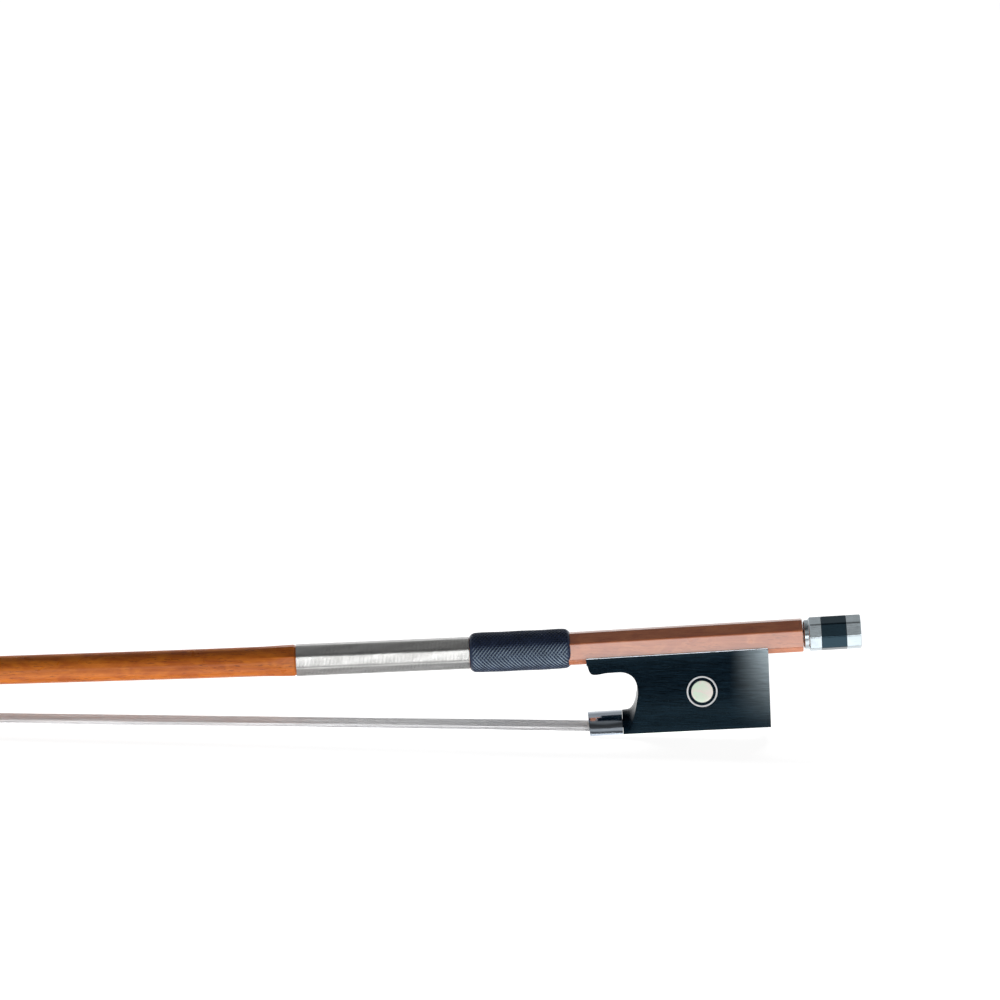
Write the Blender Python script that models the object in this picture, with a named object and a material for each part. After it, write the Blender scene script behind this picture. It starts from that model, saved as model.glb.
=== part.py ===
"""A full-size violin bow: stick with carved head, hair, winding, grip, sliding frog and screw.

Metres, +Z up. +X runs from the head to the button, and the hair lies below the stick.
The bow is laid out on the line of its hair: x = 0 is the ferrule's mouth, z = 0 the hair's middle.
What rides on the handle is laid out on the handle's axis: x = 0 is the stick's butt, z = 0 its axis.
"""

import math

import bmesh
import bpy
import numpy as np
from mathutils import Matrix, Vector

# Hair
HAIR_LENGTH = 0.6504
HAIR_WIDTH = 0.0106
HAIR_HEAD_WIDTH = 0.0088
HAIR_NECK_WIDTH = 0.0080
HAIR_TIP_WIDTH = 0.0052
HAIR_THICKNESS = 0.0012
HAIR_HEAD_THICKNESS = 0.0007
HAIR_RISE = 0.00035
HAIR_STRANDS = 24
STRAND_RELIEF = 0.00012
HAIR_MOUTH_LENGTH = 0.002
HAIR_MOUTH_WIDTH = 0.0104
HAIR_LEVEL_START = 0.003
# past the free length: distance, height, lean in degrees, share of the way from head to tip width
HAIR_TAIL = (
    (-0.004, 0.0, 0.0, 0.0), (0.0025, 0.00005, 3.0, 0.17), (0.0050, 0.00035, 11.0, 0.42),
    (0.0073, 0.00105, 24.0, 0.78), (0.0088, 0.0018, 38.0, 1.0), (0.0100, 0.0026, 50.0, 1.0),
)
HAIR_LOWEST = 0.0035

# Stick
STICK_HEIGHT = 0.02105
HANDLE_TILT = math.radians(4.15)
BUTT_FLATS = 0.0083
TOP_FLAT = 0.0028
SIDE_TOP = 0.0018
SIDE_BOTTOM = 0.00275
BOTTOM_FLAT = 0.0054
STRAIGHT_PAST_FERRULE = 0.0022
FADE_START = 0.004
FADE_END = 0.030
HEAD_AXIS_HEIGHT = 0.0203
# share of the hair's length from the ferrule, dip of the stick's axis there below a straight line
# that runs from the stick's height at the ferrule to the axis's height at the head
CAMBER = (
    (0.053, 0.00201), (0.122, 0.00446), (0.198, 0.00680), (0.330, 0.01023), (0.462, 0.01260),
    (0.594, 0.01345), (0.727, 0.01216), (0.808, 0.01029), (0.889, 0.00728), (0.929, 0.00495),
    (0.969, 0.00182), (0.990, 0.0),
)
# share of the hair's length from the ferrule, the stick's thickness there as a share of the butt's
TAPER = (
    (-0.110, 1.0), (0.000, 0.987), (0.050, 0.958), (0.122, 0.947), (0.198, 0.922),
    (0.727, 0.728), (0.800, 0.707), (0.890, 0.689), (0.929, 0.669), (0.950, 0.636),
    (0.969, 0.588), (0.990, 0.534),
)
STICK_STATIONS = 30

# Grip and winding
GRIP_CLEARANCE = 0.0039
GRIP_LENGTH = 0.0266
GRIP_WALL = 0.0011
GRIP_MIDDLE = 1.03
# distance from the edge, share of the grip's wall there at the frog's side and at the winding's
GRIP_EDGES = ((0.0, 0.30, 0.35), (0.0003, 0.65, 0.70), (0.0010, 0.90, 0.95), (0.0028, 1.0, 1.06))
WINDING_LENGTH = 0.0460
WINDING_PITCH = 0.00036
WINDING_RELIEF = 0.00010
WINDING_WALL = 0.00030
WINDING_SINK = 0.00016
WINDING_STATIONS = 5

# Head: front point and throat point of each section, half width at the throat side,
# half width at the ridge, bow of the section, dip before the beak
HEAD_SECTIONS = (
    (-0.0026, 0.02303, -0.0052, 0.01810, 0.00250, 0.0010, 0.0, 0.0),
    (0.0012, 0.02350, -0.0036, 0.01750, 0.00275, 0.0006, 0.0, 0.0),
    (0.0042, 0.02379, -0.0026, 0.01685, 0.00295, 0.0004, 0.0, 0.0),
    (0.0065, 0.02360, -0.0019, 0.01610, 0.00305, 0.0003, 0.0, 0.0),
    (0.0081, 0.02285, -0.00125, 0.01510, 0.00315, 0.0002, 0.0, 0.0),
    (0.0092, 0.02165, -0.00078, 0.01410, 0.00322, 0.0002, 0.0, 0.0),
    (0.0099, 0.02000, -0.0005, 0.01310, 0.00330, 0.0002, 0.0, 0.0),
    (0.0105, 0.01800, -0.00025, 0.01190, 0.00345, 0.0002, 0.0, 0.0),
    (0.0112, 0.01560, -0.00005, 0.01040, 0.00365, 0.0003, 0.0, 0.0),
    (0.0121, 0.01320, 0.00008, 0.00900, 0.00390, 0.0004, 0.00005, 0.0),
    (0.0133, 0.01100, 0.00012, 0.00750, 0.00415, 0.0005, 0.0001, 0.0),
    (0.0149, 0.00925, 0.00014, 0.00600, 0.00440, 0.0006, 0.00015, 0.0),
    (0.0166, 0.00820, 0.00012, 0.00470, 0.00465, 0.0008, 0.0002, 0.0010),
    (0.0184, 0.00790, 0.0001, 0.00350, 0.00485, 0.0010, 0.0003, 0.0025),
    (0.02045, 0.00890, 0.00003, 0.00240, 0.00500, 0.0012, 0.0004, 0.0050),
    (0.0207, 0.00685, -0.0001, 0.00145, 0.00510, 0.0013, 0.00055, 0.0),
)
# share of the way from throat to ridge, share of the half width, round a half section of the head
HEAD_PROFILE = (
    (1.0, 0.0), (0.985, 0.04), (0.90, 0.36), (0.76, 0.60), (0.55, 0.81), (0.30, 0.95),
    (0.05, 1.0), (0.0, 0.84), (0.0, 0.0),
)
LINER_THICKNESS = 0.00035
PLATE_THICKNESS = 0.0007
PLATE_TIP = 0.0006
HEAD_MORTISE_START = 0.0042
HEAD_MORTISE_LENGTH = 0.0062
HEAD_MORTISE_WIDTH = 0.0056
HEAD_MORTISE_TOP = 0.0076
HEAD_KNOT_THICKNESS = 0.0020
HEAD_PLUG_BOTTOM = (0.0020, 0.0027)

# Ferrule, along the handle from the butt
FERRULE_FRONT = 0.0578
FERRULE_LENGTH = 0.0091
FERRULE_WIDTH = 0.0130
FERRULE_HEIGHT = 0.0052
FERRULE_WALL = 0.00045
FERRULE_SLANT = 0.0003
FERRULE_TONGUE = 0.0083
WEDGE_LENGTH = 0.0070
WEDGE_THICKNESS = 0.00105
WEDGE_SETBACK = 0.0006

# Frog, its depths counted down from the handle's axis
FROG_LENGTH = 0.0389
HEEL_LEAN = 0.0004
SOLE_DROP = 0.0016
SOLE_SLOPE = 0.0004
FROG_TOP = 0.00255
FROG_TOP_WIDTH = 0.0100
FROG_SOLE_WIDTH = 0.0134
CHEEK_CURVE = 1.3
THROAT_TOP = 0.0063
TONGUE_SETBACK = 0.0003
# distance behind the ferrule, share of the throat's height from its top
THROAT = (
    (0.0011, 0.991), (0.00195, 0.978), (0.00295, 0.901), (0.00365, 0.789), (0.00415, 0.655),
    (0.0044, 0.511), (0.0043, 0.359), (0.0040, 0.242), (0.0034, 0.144), (0.0025, 0.072),
    (0.0012, 0.018), (-0.0014, 0.0),
)
# distance behind the tongue's tip, share of the tongue's thickness from its top
TONGUE = (
    (0.0045, 1.027), (0.0020, 1.08), (0.0013, 1.027), (0.0008, 0.867), (0.00045, 0.573),
    (0.0001, 0.227),
)
# distance behind the ferrule, how far the throat's floor has taken the ferrule's arched shape
FLOOR_ARCH = (
    (0.0041, 0.0), (0.0037, 0.2), (0.0031, 0.45), (0.0023, 0.75), (0.0013, 0.97), (-0.0013, 1.0),
)
EYE_INSET = 0.0180
EYE_DEPTH = 0.0126
EYE_RING_WIDTH = 0.00815
EYE_RING_WALL = 0.00045
PEARL_WIDTH = 0.0057
EYE_SUNK = 0.0006
EYE_PROUD = 0.00003

# What the frog's sole holds
SLIDE_HEEL_MARGIN = 0.0049
SLIDE_DEPTH = 0.00125
SLIDE_LEDGE = 0.0005
SLIDE_UNDERCUT = 0.0004
PEARL_SLAB = 0.0005
FROG_MORTISE_SETBACK = 0.0097
FROG_MORTISE_LENGTH = 0.0090
FROG_MORTISE_TOP = 0.0145
KNOT_THICKNESS = 0.0025
KNOT_LEG = 0.0011

# Underslide and eyelet
UNDERSLIDE_WALL = 0.0003
UNDERSLIDE_PROUD = 0.0002
PIN_WIDTH = 0.0014
PIN_LENGTH = 0.0017
PIN_INSET = 0.0050
EYELET_INSET = 0.0236
EYELET_LENGTH = 0.0050
EYELET_WIDTH = 0.0034
EYELET_TOP = 0.0021
EYELET_SHANK = 0.0032
EYELET_DEPTH = 0.0095
EYELET_ROOT = 0.0006
TIGHTENING_TRAVEL = 0.0050
SLACKENING_TRAVEL = 0.0048

# Screw and button
SCREW_WIDTH = 0.0030
SCREW_ROOT = 0.0024
SCREW_PITCH = 0.00075
THREAD_BEFORE_SLOT = 0.0030
THREAD_PAST_SLOT = 0.0017
JOURNAL_WIDTH = 0.0022
JOURNAL_LENGTH = 0.0085
SCREW_BORE_PLAY = 0.0002
JOURNAL_PLAY = 0.00015
BUTTON_FLATS = 0.0085
BUTTON_TURN = math.radians(25.3)
BUTTON_CHAMFER = 0.0003
COLLAR_LENGTH = 0.0014
COLLAR_WIDTH = 0.0078
FRONT_RING_LENGTH = 0.0033
BAND_LENGTH = 0.0066
REAR_RING_LENGTH = 0.0039
CAP_WALL = 0.0010
SPIGOT_WIDTH = 0.0062

# Clearances
REST_GAP = 0.0001
GLUE_GAP = 0.00003
RUN_GAP = 0.0001
PIN_GAP = 0.00006
SLOT_PLAY = 0.0002
CHANNEL_PLAY = 0.0004
BUTT_GAP = 0.0002
OVERCUT = 0.001

ROUND_SIDES = 24

# Places along the handle from the butt, and depths below its axis
FROG_FRONT = FERRULE_FRONT - FERRULE_LENGTH
HEEL_BOTTOM = FROG_FRONT - FROG_LENGTH
HEEL_TOP = HEEL_BOTTOM - HEEL_LEAN
TONGUE_TIP = FERRULE_FRONT - TONGUE_SETBACK
GRIP_START = TONGUE_TIP + GRIP_CLEARANCE
GRIP_END = GRIP_START + GRIP_LENGTH
WINDING_START = GRIP_END + REST_GAP
WINDING_END = WINDING_START + WINDING_LENGTH
WINDING_TURNS = int(WINDING_LENGTH / WINDING_PITCH) - 2
EYE_PLACE = HEEL_TOP + EYE_INSET
EYELET_PLACE = HEEL_TOP + EYELET_INSET
SLOT_START = EYELET_PLACE - EYELET_LENGTH / 2 - TIGHTENING_TRAVEL
SLOT_END = EYELET_PLACE + EYELET_LENGTH / 2 + SLACKENING_TRAVEL
THREAD_START = SLOT_START - THREAD_BEFORE_SLOT
THREAD_TURNS = round((SLOT_END + THREAD_PAST_SLOT - THREAD_START) / SCREW_PITCH)
THREAD_END = THREAD_START + THREAD_TURNS * SCREW_PITCH
FROG_MORTISE_END = FROG_FRONT - FROG_MORTISE_SETBACK
FROG_MORTISE_START = FROG_MORTISE_END - FROG_MORTISE_LENGTH
SLIDE_START = HEEL_BOTTOM + SLIDE_HEEL_MARGIN
FRONT_DEPTH = STICK_HEIGHT + SOLE_DROP
HEEL_DEPTH = FRONT_DEPTH + SOLE_SLOPE
FERRULE_TOP = FRONT_DEPTH - FERRULE_HEIGHT
HAIR_TOP = STICK_HEIGHT - HAIR_THICKNESS / 2
WEDGE_TOP = HAIR_TOP - 2 * REST_GAP - WEDGE_THICKNESS
HAIR_FROG_DEPTH = STICK_HEIGHT - HAIR_RISE
CHANNEL_TOP = HAIR_TOP - HAIR_RISE - 2 * REST_GAP
CHANNEL_WIDTH = HAIR_NECK_WIDTH + 2 * CHANNEL_PLAY
SLIDE_WIDTH = CHANNEL_WIDTH + 2 * SLIDE_LEDGE
HANDLE_STRAIGHT = FERRULE_FRONT + STRAIGHT_PAST_FERRULE
BAND_START = BUTT_GAP + COLLAR_LENGTH + FRONT_RING_LENGTH
BAND_END = BAND_START + BAND_LENGTH
BUTTON_END = BAND_END + REAR_RING_LENGTH
SCREW_TAIL = BAND_END - CAP_WALL / 2


class Shell:
    """The points and faces of one closed body, gathered ring by ring."""

    def __init__(self):
        self.points = []
        self.faces = []

    def ring(self, points):
        start = len(self.points)
        self.points.extend(tuple(map(float, p)) for p in points)
        return list(range(start, len(self.points)))

    def bridge(self, one, two):
        for i in range(len(one)):
            j = (i + 1) % len(one)
            self.faces.append((one[i], one[j], two[j], two[i]))

    def cap(self, ring):
        self.faces.append(tuple(ring))

    def ladder_cap(self, ring):
        """Closes a ring that mirrors about its middle with flat strips from side to side.

        The ring ends in an edge with its middle point on it, which the last strip takes in.
        """
        count = len(ring)
        half = count // 2
        self.faces.append((ring[0], ring[1], ring[-1]))
        for i in range(1, half - 2):
            self.faces.append((ring[i], ring[i + 1], ring[count - i - 1], ring[count - i]))
        self.faces.append(tuple(ring[half - 2 : half + 3]))


def finish(name, colour, roughness, metallic=0.0):
    material = bpy.data.materials.new(name)
    material.use_nodes = True
    shader = material.node_tree.nodes["Principled BSDF"]
    shader.inputs["Base Color"].default_value = (*colour, 1.0)
    shader.inputs["Roughness"].default_value = roughness
    shader.inputs["Metallic"].default_value = metallic
    material.diffuse_color = (*colour, 1.0)
    return material


def place(name, shell, material, parent):
    """Makes the object, with its faces turned outwards, under its parent empty."""
    mesh = bpy.data.meshes.new(name)
    mesh.from_pydata(shell.points, [], shell.faces)
    work = bmesh.new()
    work.from_mesh(mesh)
    bmesh.ops.recalc_face_normals(work, faces=work.faces)
    work.to_mesh(mesh)
    work.free()
    obj = bpy.data.objects.new(name, mesh)
    bpy.context.scene.collection.objects.link(obj)
    obj.parent = parent
    if material is None:
        obj.hide_render = True
        obj.display_type = "WIRE"
    else:
        mesh.materials.append(material)
        mesh.shade_smooth()
        mesh.set_sharp_from_angle(angle=math.radians(30))
    return obj


def combine(obj, cutter, operation="DIFFERENCE"):
    modifier = obj.modifiers.new(cutter.name, "BOOLEAN")
    modifier.operation = operation
    modifier.solver = "EXACT"
    modifier.object = cutter


def loft(rings, closed=False, ladder=False):
    """A skin over rings of equal count, capped at both ends or closed on itself.

    With ladder, the last cap is made of strips, for an end that is bowed.
    """
    shell = Shell()
    made = [shell.ring(r) for r in rings]
    for one, two in zip(made, made[1:]):
        shell.bridge(one, two)
    if closed:
        shell.bridge(made[-1], made[0])
    else:
        shell.cap(made[0])
        end_cap = shell.ladder_cap if ladder else shell.cap
        end_cap(made[-1])
    return shell


def prism(outline, half_width):
    """An outline of (x, z) points carried across Y."""
    return loft([[(x, y, z) for x, z in outline] for y in (-half_width, half_width)])


def bar(outline, start, end):
    """An outline of (y, z) points carried along X."""
    return loft([[(x, y, z) for y, z in outline] for x in (start, end)])


def box(x, y, z):
    return bar([(y[0], z[0]), (y[1], z[0]), (y[1], z[1]), (y[0], z[1])], x[0], x[1])


def circle(radius, count=ROUND_SIDES):
    angle = (np.arange(count) + 0.5) * (2 * math.pi / count)
    return np.column_stack([radius * np.cos(angle), radius * np.sin(angle)])


def octagon(apothem, turn=0.0, count=ROUND_SIDES):
    """Points round an octagon, its corners among them, with a flat face at angle turn."""
    angle = (np.arange(count) + 0.5) * (2 * math.pi / count)
    from_flat = (angle + math.pi / 8) % (math.pi / 4) - math.pi / 8
    radius = apothem / np.cos(from_flat)
    return np.column_stack([radius * np.cos(angle + turn), radius * np.sin(angle + turn)])


def across_x(x, outline):
    return [(x, y, z) for y, z in outline]


def rod(radius, start, end):
    return loft([across_x(start, circle(radius)), across_x(end, circle(radius))])


def post(radius, x, low, high):
    """A round rod standing along Z."""
    return loft([[(x + a, b, z) for a, b in circle(radius)] for z in (low, high)])


def disc_across(radius, x, z, near, far):
    """A round rod lying along Y."""
    return loft([[(x + a, y, z + b) for a, b in circle(radius)] for y in (near, far)])


def ring_across(outer, inner, x, z, near, far):
    rings = []
    for radius, y in ((outer, near), (outer, far), (inner, far), (inner, near)):
        rings.append([(x + a, y, z + b) for a, b in circle(radius)])
    return loft(rings, closed=True)


def smooth_line(knots, start_slope):
    """A cubic through the knots, with its slope given at the start and free at the end."""
    x, y = np.array(knots).T
    step = np.diff(x)
    rise = np.diff(y) / step
    count = len(x)
    matrix = np.zeros((count, count))
    right = np.zeros(count)
    matrix[0, 0] = 1.0
    right[0] = start_slope
    for i in range(1, count - 1):
        matrix[i, i - 1 : i + 2] = (step[i], 2 * (step[i - 1] + step[i]), step[i - 1])
        right[i] = 3 * (step[i] * rise[i - 1] + step[i - 1] * rise[i])
    matrix[-1, -2:] = (1.0, 2.0)
    right[-1] = 3 * rise[-1]
    slope = np.linalg.solve(matrix, right)

    def height(at):
        i = int(np.clip(np.searchsorted(x, at) - 1, 0, count - 2))
        t = (at - x[i]) / step[i]
        one = y[i] * (2 * t**3 - 3 * t**2 + 1) + y[i + 1] * (3 * t**2 - 2 * t**3)
        return one + step[i] * (slope[i] * (t**3 - 2 * t**2 + t) + slope[i + 1] * (t**3 - t**2))

    return height


# Where the handle's axis starts, at the butt, on the line of the hair
HANDLE_DIRECTION = Vector((math.cos(HANDLE_TILT), 0.0, math.sin(HANDLE_TILT)))
HANDLE_UP = Vector((-math.sin(HANDLE_TILT), 0.0, math.cos(HANDLE_TILT)))
BUTT = FERRULE_FRONT * HANDLE_DIRECTION + STICK_HEIGHT * HANDLE_UP
CURVE_START = BUTT - HANDLE_STRAIGHT * HANDLE_DIRECTION


def camber_points():
    """Shares of the hair's length and heights of the stick's axis, from the handle to the head."""
    last = CAMBER[-1][0]
    points = [(-CURVE_START.x / HAIR_LENGTH, CURVE_START.z)]
    for share, dip in CAMBER:
        straight = STICK_HEIGHT + (HEAD_AXIS_HEIGHT - STICK_HEIGHT) * share / last
        points.append((share, straight - dip))
    return points


CAMBER_LINE = smooth_line(camber_points(), -math.tan(HANDLE_TILT) * HAIR_LENGTH)


def axis_height(x):
    """Height of the stick's axis above the hair at x: straight at the handle, then cambered."""
    if x > CURVE_START.x:
        return CURVE_START.z + (x - CURVE_START.x) * math.tan(HANDLE_TILT)
    return CAMBER_LINE(-x / HAIR_LENGTH)


def axis_frame(x):
    """The point of the stick's axis at x, and the direction square to it in the bow's plane."""
    reach = 0.0005
    slope = (axis_height(x + reach) - axis_height(x - reach)) / (2 * reach)
    up = Vector((-slope, 0.0, 1.0)).normalized()
    return Vector((x, 0.0, axis_height(x))), up


def x_of_handle(distance):
    """x of a point this far from the butt along the stick."""
    return BUTT.x - distance * HANDLE_DIRECTION.x


def stick_radius(x):
    """Half the stick's thickness at x."""
    place_share, thickness = np.array(TAPER).T
    return BUTT_FLATS / 2 * float(np.interp(-x / HAIR_LENGTH, place_share, thickness))


def handle_profile():
    """Eight corners and eight middles of the butt's section, from the top round to the bottom."""
    half = BUTT_FLATS / 2
    corners = [(0.0, half), (TOP_FLAT / 2, half), (half, SIDE_TOP), (half, -SIDE_BOTTOM)]
    corners += [(BOTTOM_FLAT / 2, -half), (0.0, -half)]
    points = [corners[0], corners[1]]
    for one, two in zip(corners[1:4], corners[2:5]):
        points += [((one[0] + two[0]) / 2, (one[1] + two[1]) / 2), two]
    points.append(corners[-1])
    return np.array(points) / half


def octagon_profile():
    angle = np.arange(9) * math.pi / 8
    radius = np.where(np.arange(9) % 2, 1 / math.cos(math.pi / 8), 1.0)
    return np.column_stack([radius * np.sin(angle), radius * np.cos(angle)])


def round_profile():
    angle = np.arange(9) * math.pi / 8
    return np.column_stack([np.sin(angle), np.cos(angle)])


def fade(x, start, end):
    """0 before start and 1 past end, both counted from the butt, smooth between them."""
    t = float(np.clip((BUTT.x - x - start) / (end - start), 0.0, 1.0))
    return t * t * (3 - 2 * t)


def half_profile(x):
    """The stick's half section at x, for a radius of one: handle, octagon, then round."""
    octagonal = fade(x, GRIP_START, GRIP_END)
    rounded = fade(x, WINDING_END + FADE_START, WINDING_END + FADE_END)
    shape = (1 - octagonal) * handle_profile() + octagonal * octagon_profile()
    return (1 - rounded) * shape + rounded * round_profile()


def grip_rounding():
    """Distances from the grip's start and the share of its wall at each."""
    near = [(along, share) for along, share, other in GRIP_EDGES]
    far = [(GRIP_LENGTH - along, share) for along, other, share in GRIP_EDGES[::-1]]
    return near + [(GRIP_LENGTH / 2, GRIP_MIDDLE)] + far


def winding_stations():
    """Distances from the butt at which both the stick and the wire's bore have a ring."""
    length = (WINDING_TURNS + 2) * WINDING_PITCH
    return list(np.linspace(WINDING_START, WINDING_START + length, WINDING_STATIONS))


def winding_bore():
    """Radius of the winding's bore: the stick is a little sunk under the wire."""
    return stick_radius(x_of_handle((WINDING_START + WINDING_END) / 2)) - WINDING_SINK


def mirrored(half):
    """A whole ring from a half one that runs from top to bottom."""
    other = half[-2:0:-1] * (-1, 1)
    return np.vstack([half, other])


def stick_ring(x, grow=0.0):
    """The stick's outline at x, square to its axis, made larger all round by grow."""
    radius = stick_radius(x)
    distance = (BUTT.x - x) / HANDLE_DIRECTION.x
    if WINDING_START - PIN_GAP < distance < WINDING_END + PIN_GAP:
        radius = min(radius, winding_bore() - RUN_GAP)
    centre, up = axis_frame(x)
    outline = mirrored(half_profile(x)) * (radius + grow)
    return [centre + Vector((0.0, y, 0.0)) + up * z for y, z in outline]


def head_ring(section):
    """The head's outline from one row of HEAD_SECTIONS, front ridge first."""
    front_e, front_z, throat_e, throat_z, half_width, ridge, bow, dip = section
    points = []
    for share, wide in HEAD_PROFILE:
        e = throat_e + share * (front_e - throat_e)
        z = throat_z + share * (front_z - throat_z)
        z -= 4 * bow * share * (1 - share) + dip * share**3 * (1 - share)
        y = 0.0 if wide == 0 else ridge + (half_width - ridge) * wide
        points.append((-HAIR_LENGTH - e, y, z))
    other = [(x, -y, z) for x, y, z in points[-2:0:-1]]
    return points + other


def stick(parent, handle):
    """The stick from butt to head in one skin, then its bore, its slot and the head's mortise."""
    distances = [0.0, FERRULE_FRONT] + [GRIP_START + along for along, share in grip_rounding()]
    distances += [WINDING_START - 2 * PIN_GAP] + winding_stations()
    distances += [WINDING_END, WINDING_END + 2 * PIN_GAP]
    first = x_of_handle(WINDING_END + FADE_START)
    last = -CAMBER[-1][0] * HAIR_LENGTH
    places = [x_of_handle(s) for s in distances] + list(np.linspace(first, last, STICK_STATIONS))
    rings = [stick_ring(x) for x in sorted(places, reverse=True)]
    rings += [head_ring(section) for section in HEAD_SECTIONS]
    obj = place("stick", loft(rings, ladder=True), WOOD, parent)

    bore_end = THREAD_END + OVERCUT
    bore = rod(SCREW_WIDTH / 2 + SCREW_BORE_PLAY, OVERCUT, -bore_end)
    journal = rod(JOURNAL_WIDTH / 2 + JOURNAL_PLAY, OVERCUT - bore_end, -bore_end - JOURNAL_LENGTH)
    half_slot = EYELET_WIDTH / 2 + SLOT_PLAY
    slot = box(
        (-SLOT_END, -SLOT_START), (-half_slot, half_slot), (-BUTT_FLATS, EYELET_TOP + 2 * SLOT_PLAY)
    )
    combine(obj, place("screw_bore_cut", bore, None, handle))
    combine(obj, place("journal_bore_cut", journal, None, handle))
    combine(obj, place("slot_cut", slot, None, handle))
    combine(obj, head_mortise_cutter(parent))
    return obj


def head_mortise_cutter(parent):
    back = -HAIR_LENGTH - HEAD_MORTISE_START
    shell = box(
        (back - HEAD_MORTISE_LENGTH, back),
        (-HEAD_MORTISE_WIDTH / 2, HEAD_MORTISE_WIDTH / 2),
        (-OVERCUT, HEAD_MORTISE_TOP),
    )
    return place("head_mortise_cut", shell, None, parent)


def facing_path():
    """Points, inward directions and half widths along the head's base and up its beak."""
    base = HEAD_SECTIONS[-1]
    beak = HEAD_SECTIONS[-2]
    half = head_ring(base)[: len(HEAD_PROFILE)][::-1]
    points = [half[0]] + half[2:]
    widths = [half[1][1]] + [y for x, y, z in half[2:-1]] + [base[5]]
    points.append((-HAIR_LENGTH - beak[0], 0.0, beak[1]))
    widths.append(beak[5])
    points = [np.array((x, 0.0, z)) for x, y, z in points]
    steps = [b - a for a, b in zip(points, points[1:])]
    sides = [np.array((s[2], 0.0, -s[0])) / np.linalg.norm(s) for s in steps]
    directions = [sides[0]]
    for one, two in zip(sides, sides[1:]):
        middle = (one + two) / np.linalg.norm(one + two)
        directions.append(middle / float(middle @ one))
    directions.append(sides[-1])
    return points, directions, widths


def facing(name, near, far, tip, material, parent):
    """A thin plate between two distances from the head's base, turned up at the beak."""
    points, directions, widths = facing_path()
    end_run = (points[-1] - points[-2]) / np.linalg.norm(points[-1] - points[-2])
    points[-1] = points[-1] + end_run * tip
    rings = []
    for point, inward, wide in zip(points, directions, widths):
        one = point - inward * near
        two = point - inward * far
        corners = ((one, wide), (two, wide), (two, -wide), (one, -wide))
        rings.append([(p[0], y, p[2]) for p, y in corners])
    obj = place(name, loft(rings), material, parent)
    combine(obj, head_mortise_cutter(parent))
    return obj


def hair_station(point, across, width, thickness):
    """One outline of the ribbon: a zigzag of strands above and below."""
    count = 2 * HAIR_STRANDS
    y = np.linspace(-width / 2, width / 2, count + 1)
    crest = np.where(np.arange(count + 1) % 2, 0.0, -STRAND_RELIEF)
    top = thickness / 2 + crest
    outline = list(zip(y, top)) + list(zip(y[::-1], -top[::-1]))
    side = Vector((0.0, 1.0, 0.0))
    return [Vector(point) + side * float(a) + Vector(across) * float(b) for a, b in outline]


def hair(parent):
    """The ribbon: through the ferrule, free to the head, then under the plate to its mortise."""
    stations = []
    for inside, share, width in (
        (FERRULE_FRONT - FROG_MORTISE_END - 2 * REST_GAP, 1.0, HAIR_NECK_WIDTH),
        (FERRULE_LENGTH, 1.0, HAIR_NECK_WIDTH),
        (HAIR_MOUTH_LENGTH, HAIR_MOUTH_LENGTH / FERRULE_LENGTH, HAIR_MOUTH_WIDTH),
    ):
        point = HANDLE_DIRECTION * inside + HANDLE_UP * (HAIR_RISE * share)
        stations.append(hair_station(point, HANDLE_UP, width, HAIR_THICKNESS))
    level = Vector((0.0, 0.0, 1.0))
    start = Vector((-HAIR_LEVEL_START, 0.0, 0.0))
    stations.append(hair_station(start, level, HAIR_WIDTH, HAIR_THICKNESS))
    middle = (HAIR_WIDTH + HAIR_HEAD_WIDTH) / 2, (HAIR_THICKNESS + HAIR_HEAD_THICKNESS) / 2
    stations.append(hair_station(Vector((-HAIR_LENGTH / 2, 0.0, 0.0)), level, *middle))
    for e, z, lean, share in HAIR_TAIL:
        lean = math.radians(lean)
        across = Vector((math.sin(lean), 0.0, math.cos(lean)))
        width = HAIR_HEAD_WIDTH + (HAIR_TIP_WIDTH - HAIR_HEAD_WIDTH) * share
        point = Vector((-HAIR_LENGTH - e, 0.0, z))
        stations.append(hair_station(point, across, width, HAIR_HEAD_THICKNESS))
    return place("hair_ribbon", loft(stations), HAIR, parent)


def head_knot(parent):
    """The tied end of the hair in the head, with the length that comes down the mortise wall."""
    front = HEAD_MORTISE_START + HEAD_MORTISE_LENGTH - REST_GAP
    back = HEAD_MORTISE_START + REST_GAP
    top = HEAD_MORTISE_TOP - REST_GAP
    under = top - HEAD_KNOT_THICKNESS
    leg_end = HEAD_PLUG_BOTTOM[1] + 3 * REST_GAP
    outline = [(back, top), (front, top), (front, leg_end), (front - KNOT_LEG, leg_end)]
    outline += [(front - KNOT_LEG, under), (back, under)]
    outline = [(-HAIR_LENGTH - e, z) for e, z in outline]
    width = HEAD_MORTISE_WIDTH - 2 * REST_GAP
    place("head_hair_knot", prism(outline, width / 2), HAIR, parent)
    plug_front = front - KNOT_LEG - REST_GAP
    plug = [(back, under - REST_GAP), (plug_front, under - REST_GAP)]
    plug += [(plug_front, HEAD_PLUG_BOTTOM[1]), (back, HEAD_PLUG_BOTTOM[0])]
    plug = [(-HAIR_LENGTH - e, z) for e, z in plug]
    place("head_plug", prism(plug, width / 2), PLUG, parent)


def grip(parent):
    """The leather round the handle, thin at both edges."""
    outer, inner = [], []
    for along, share in grip_rounding():
        x = x_of_handle(GRIP_START + along)
        centre, up = axis_frame(x)
        soft = 0.35 * half_profile(x) + 0.65 * round_profile()
        outline = mirrored(soft) * (stick_radius(x) + RUN_GAP + GRIP_WALL * share)
        outer.append([centre + Vector((0.0, y, 0.0)) + up * z for y, z in outline])
        inner.append(stick_ring(x, RUN_GAP))
    place("leather_grip", loft(outer + inner[::-1], closed=True), LEATHER, parent)


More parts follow.
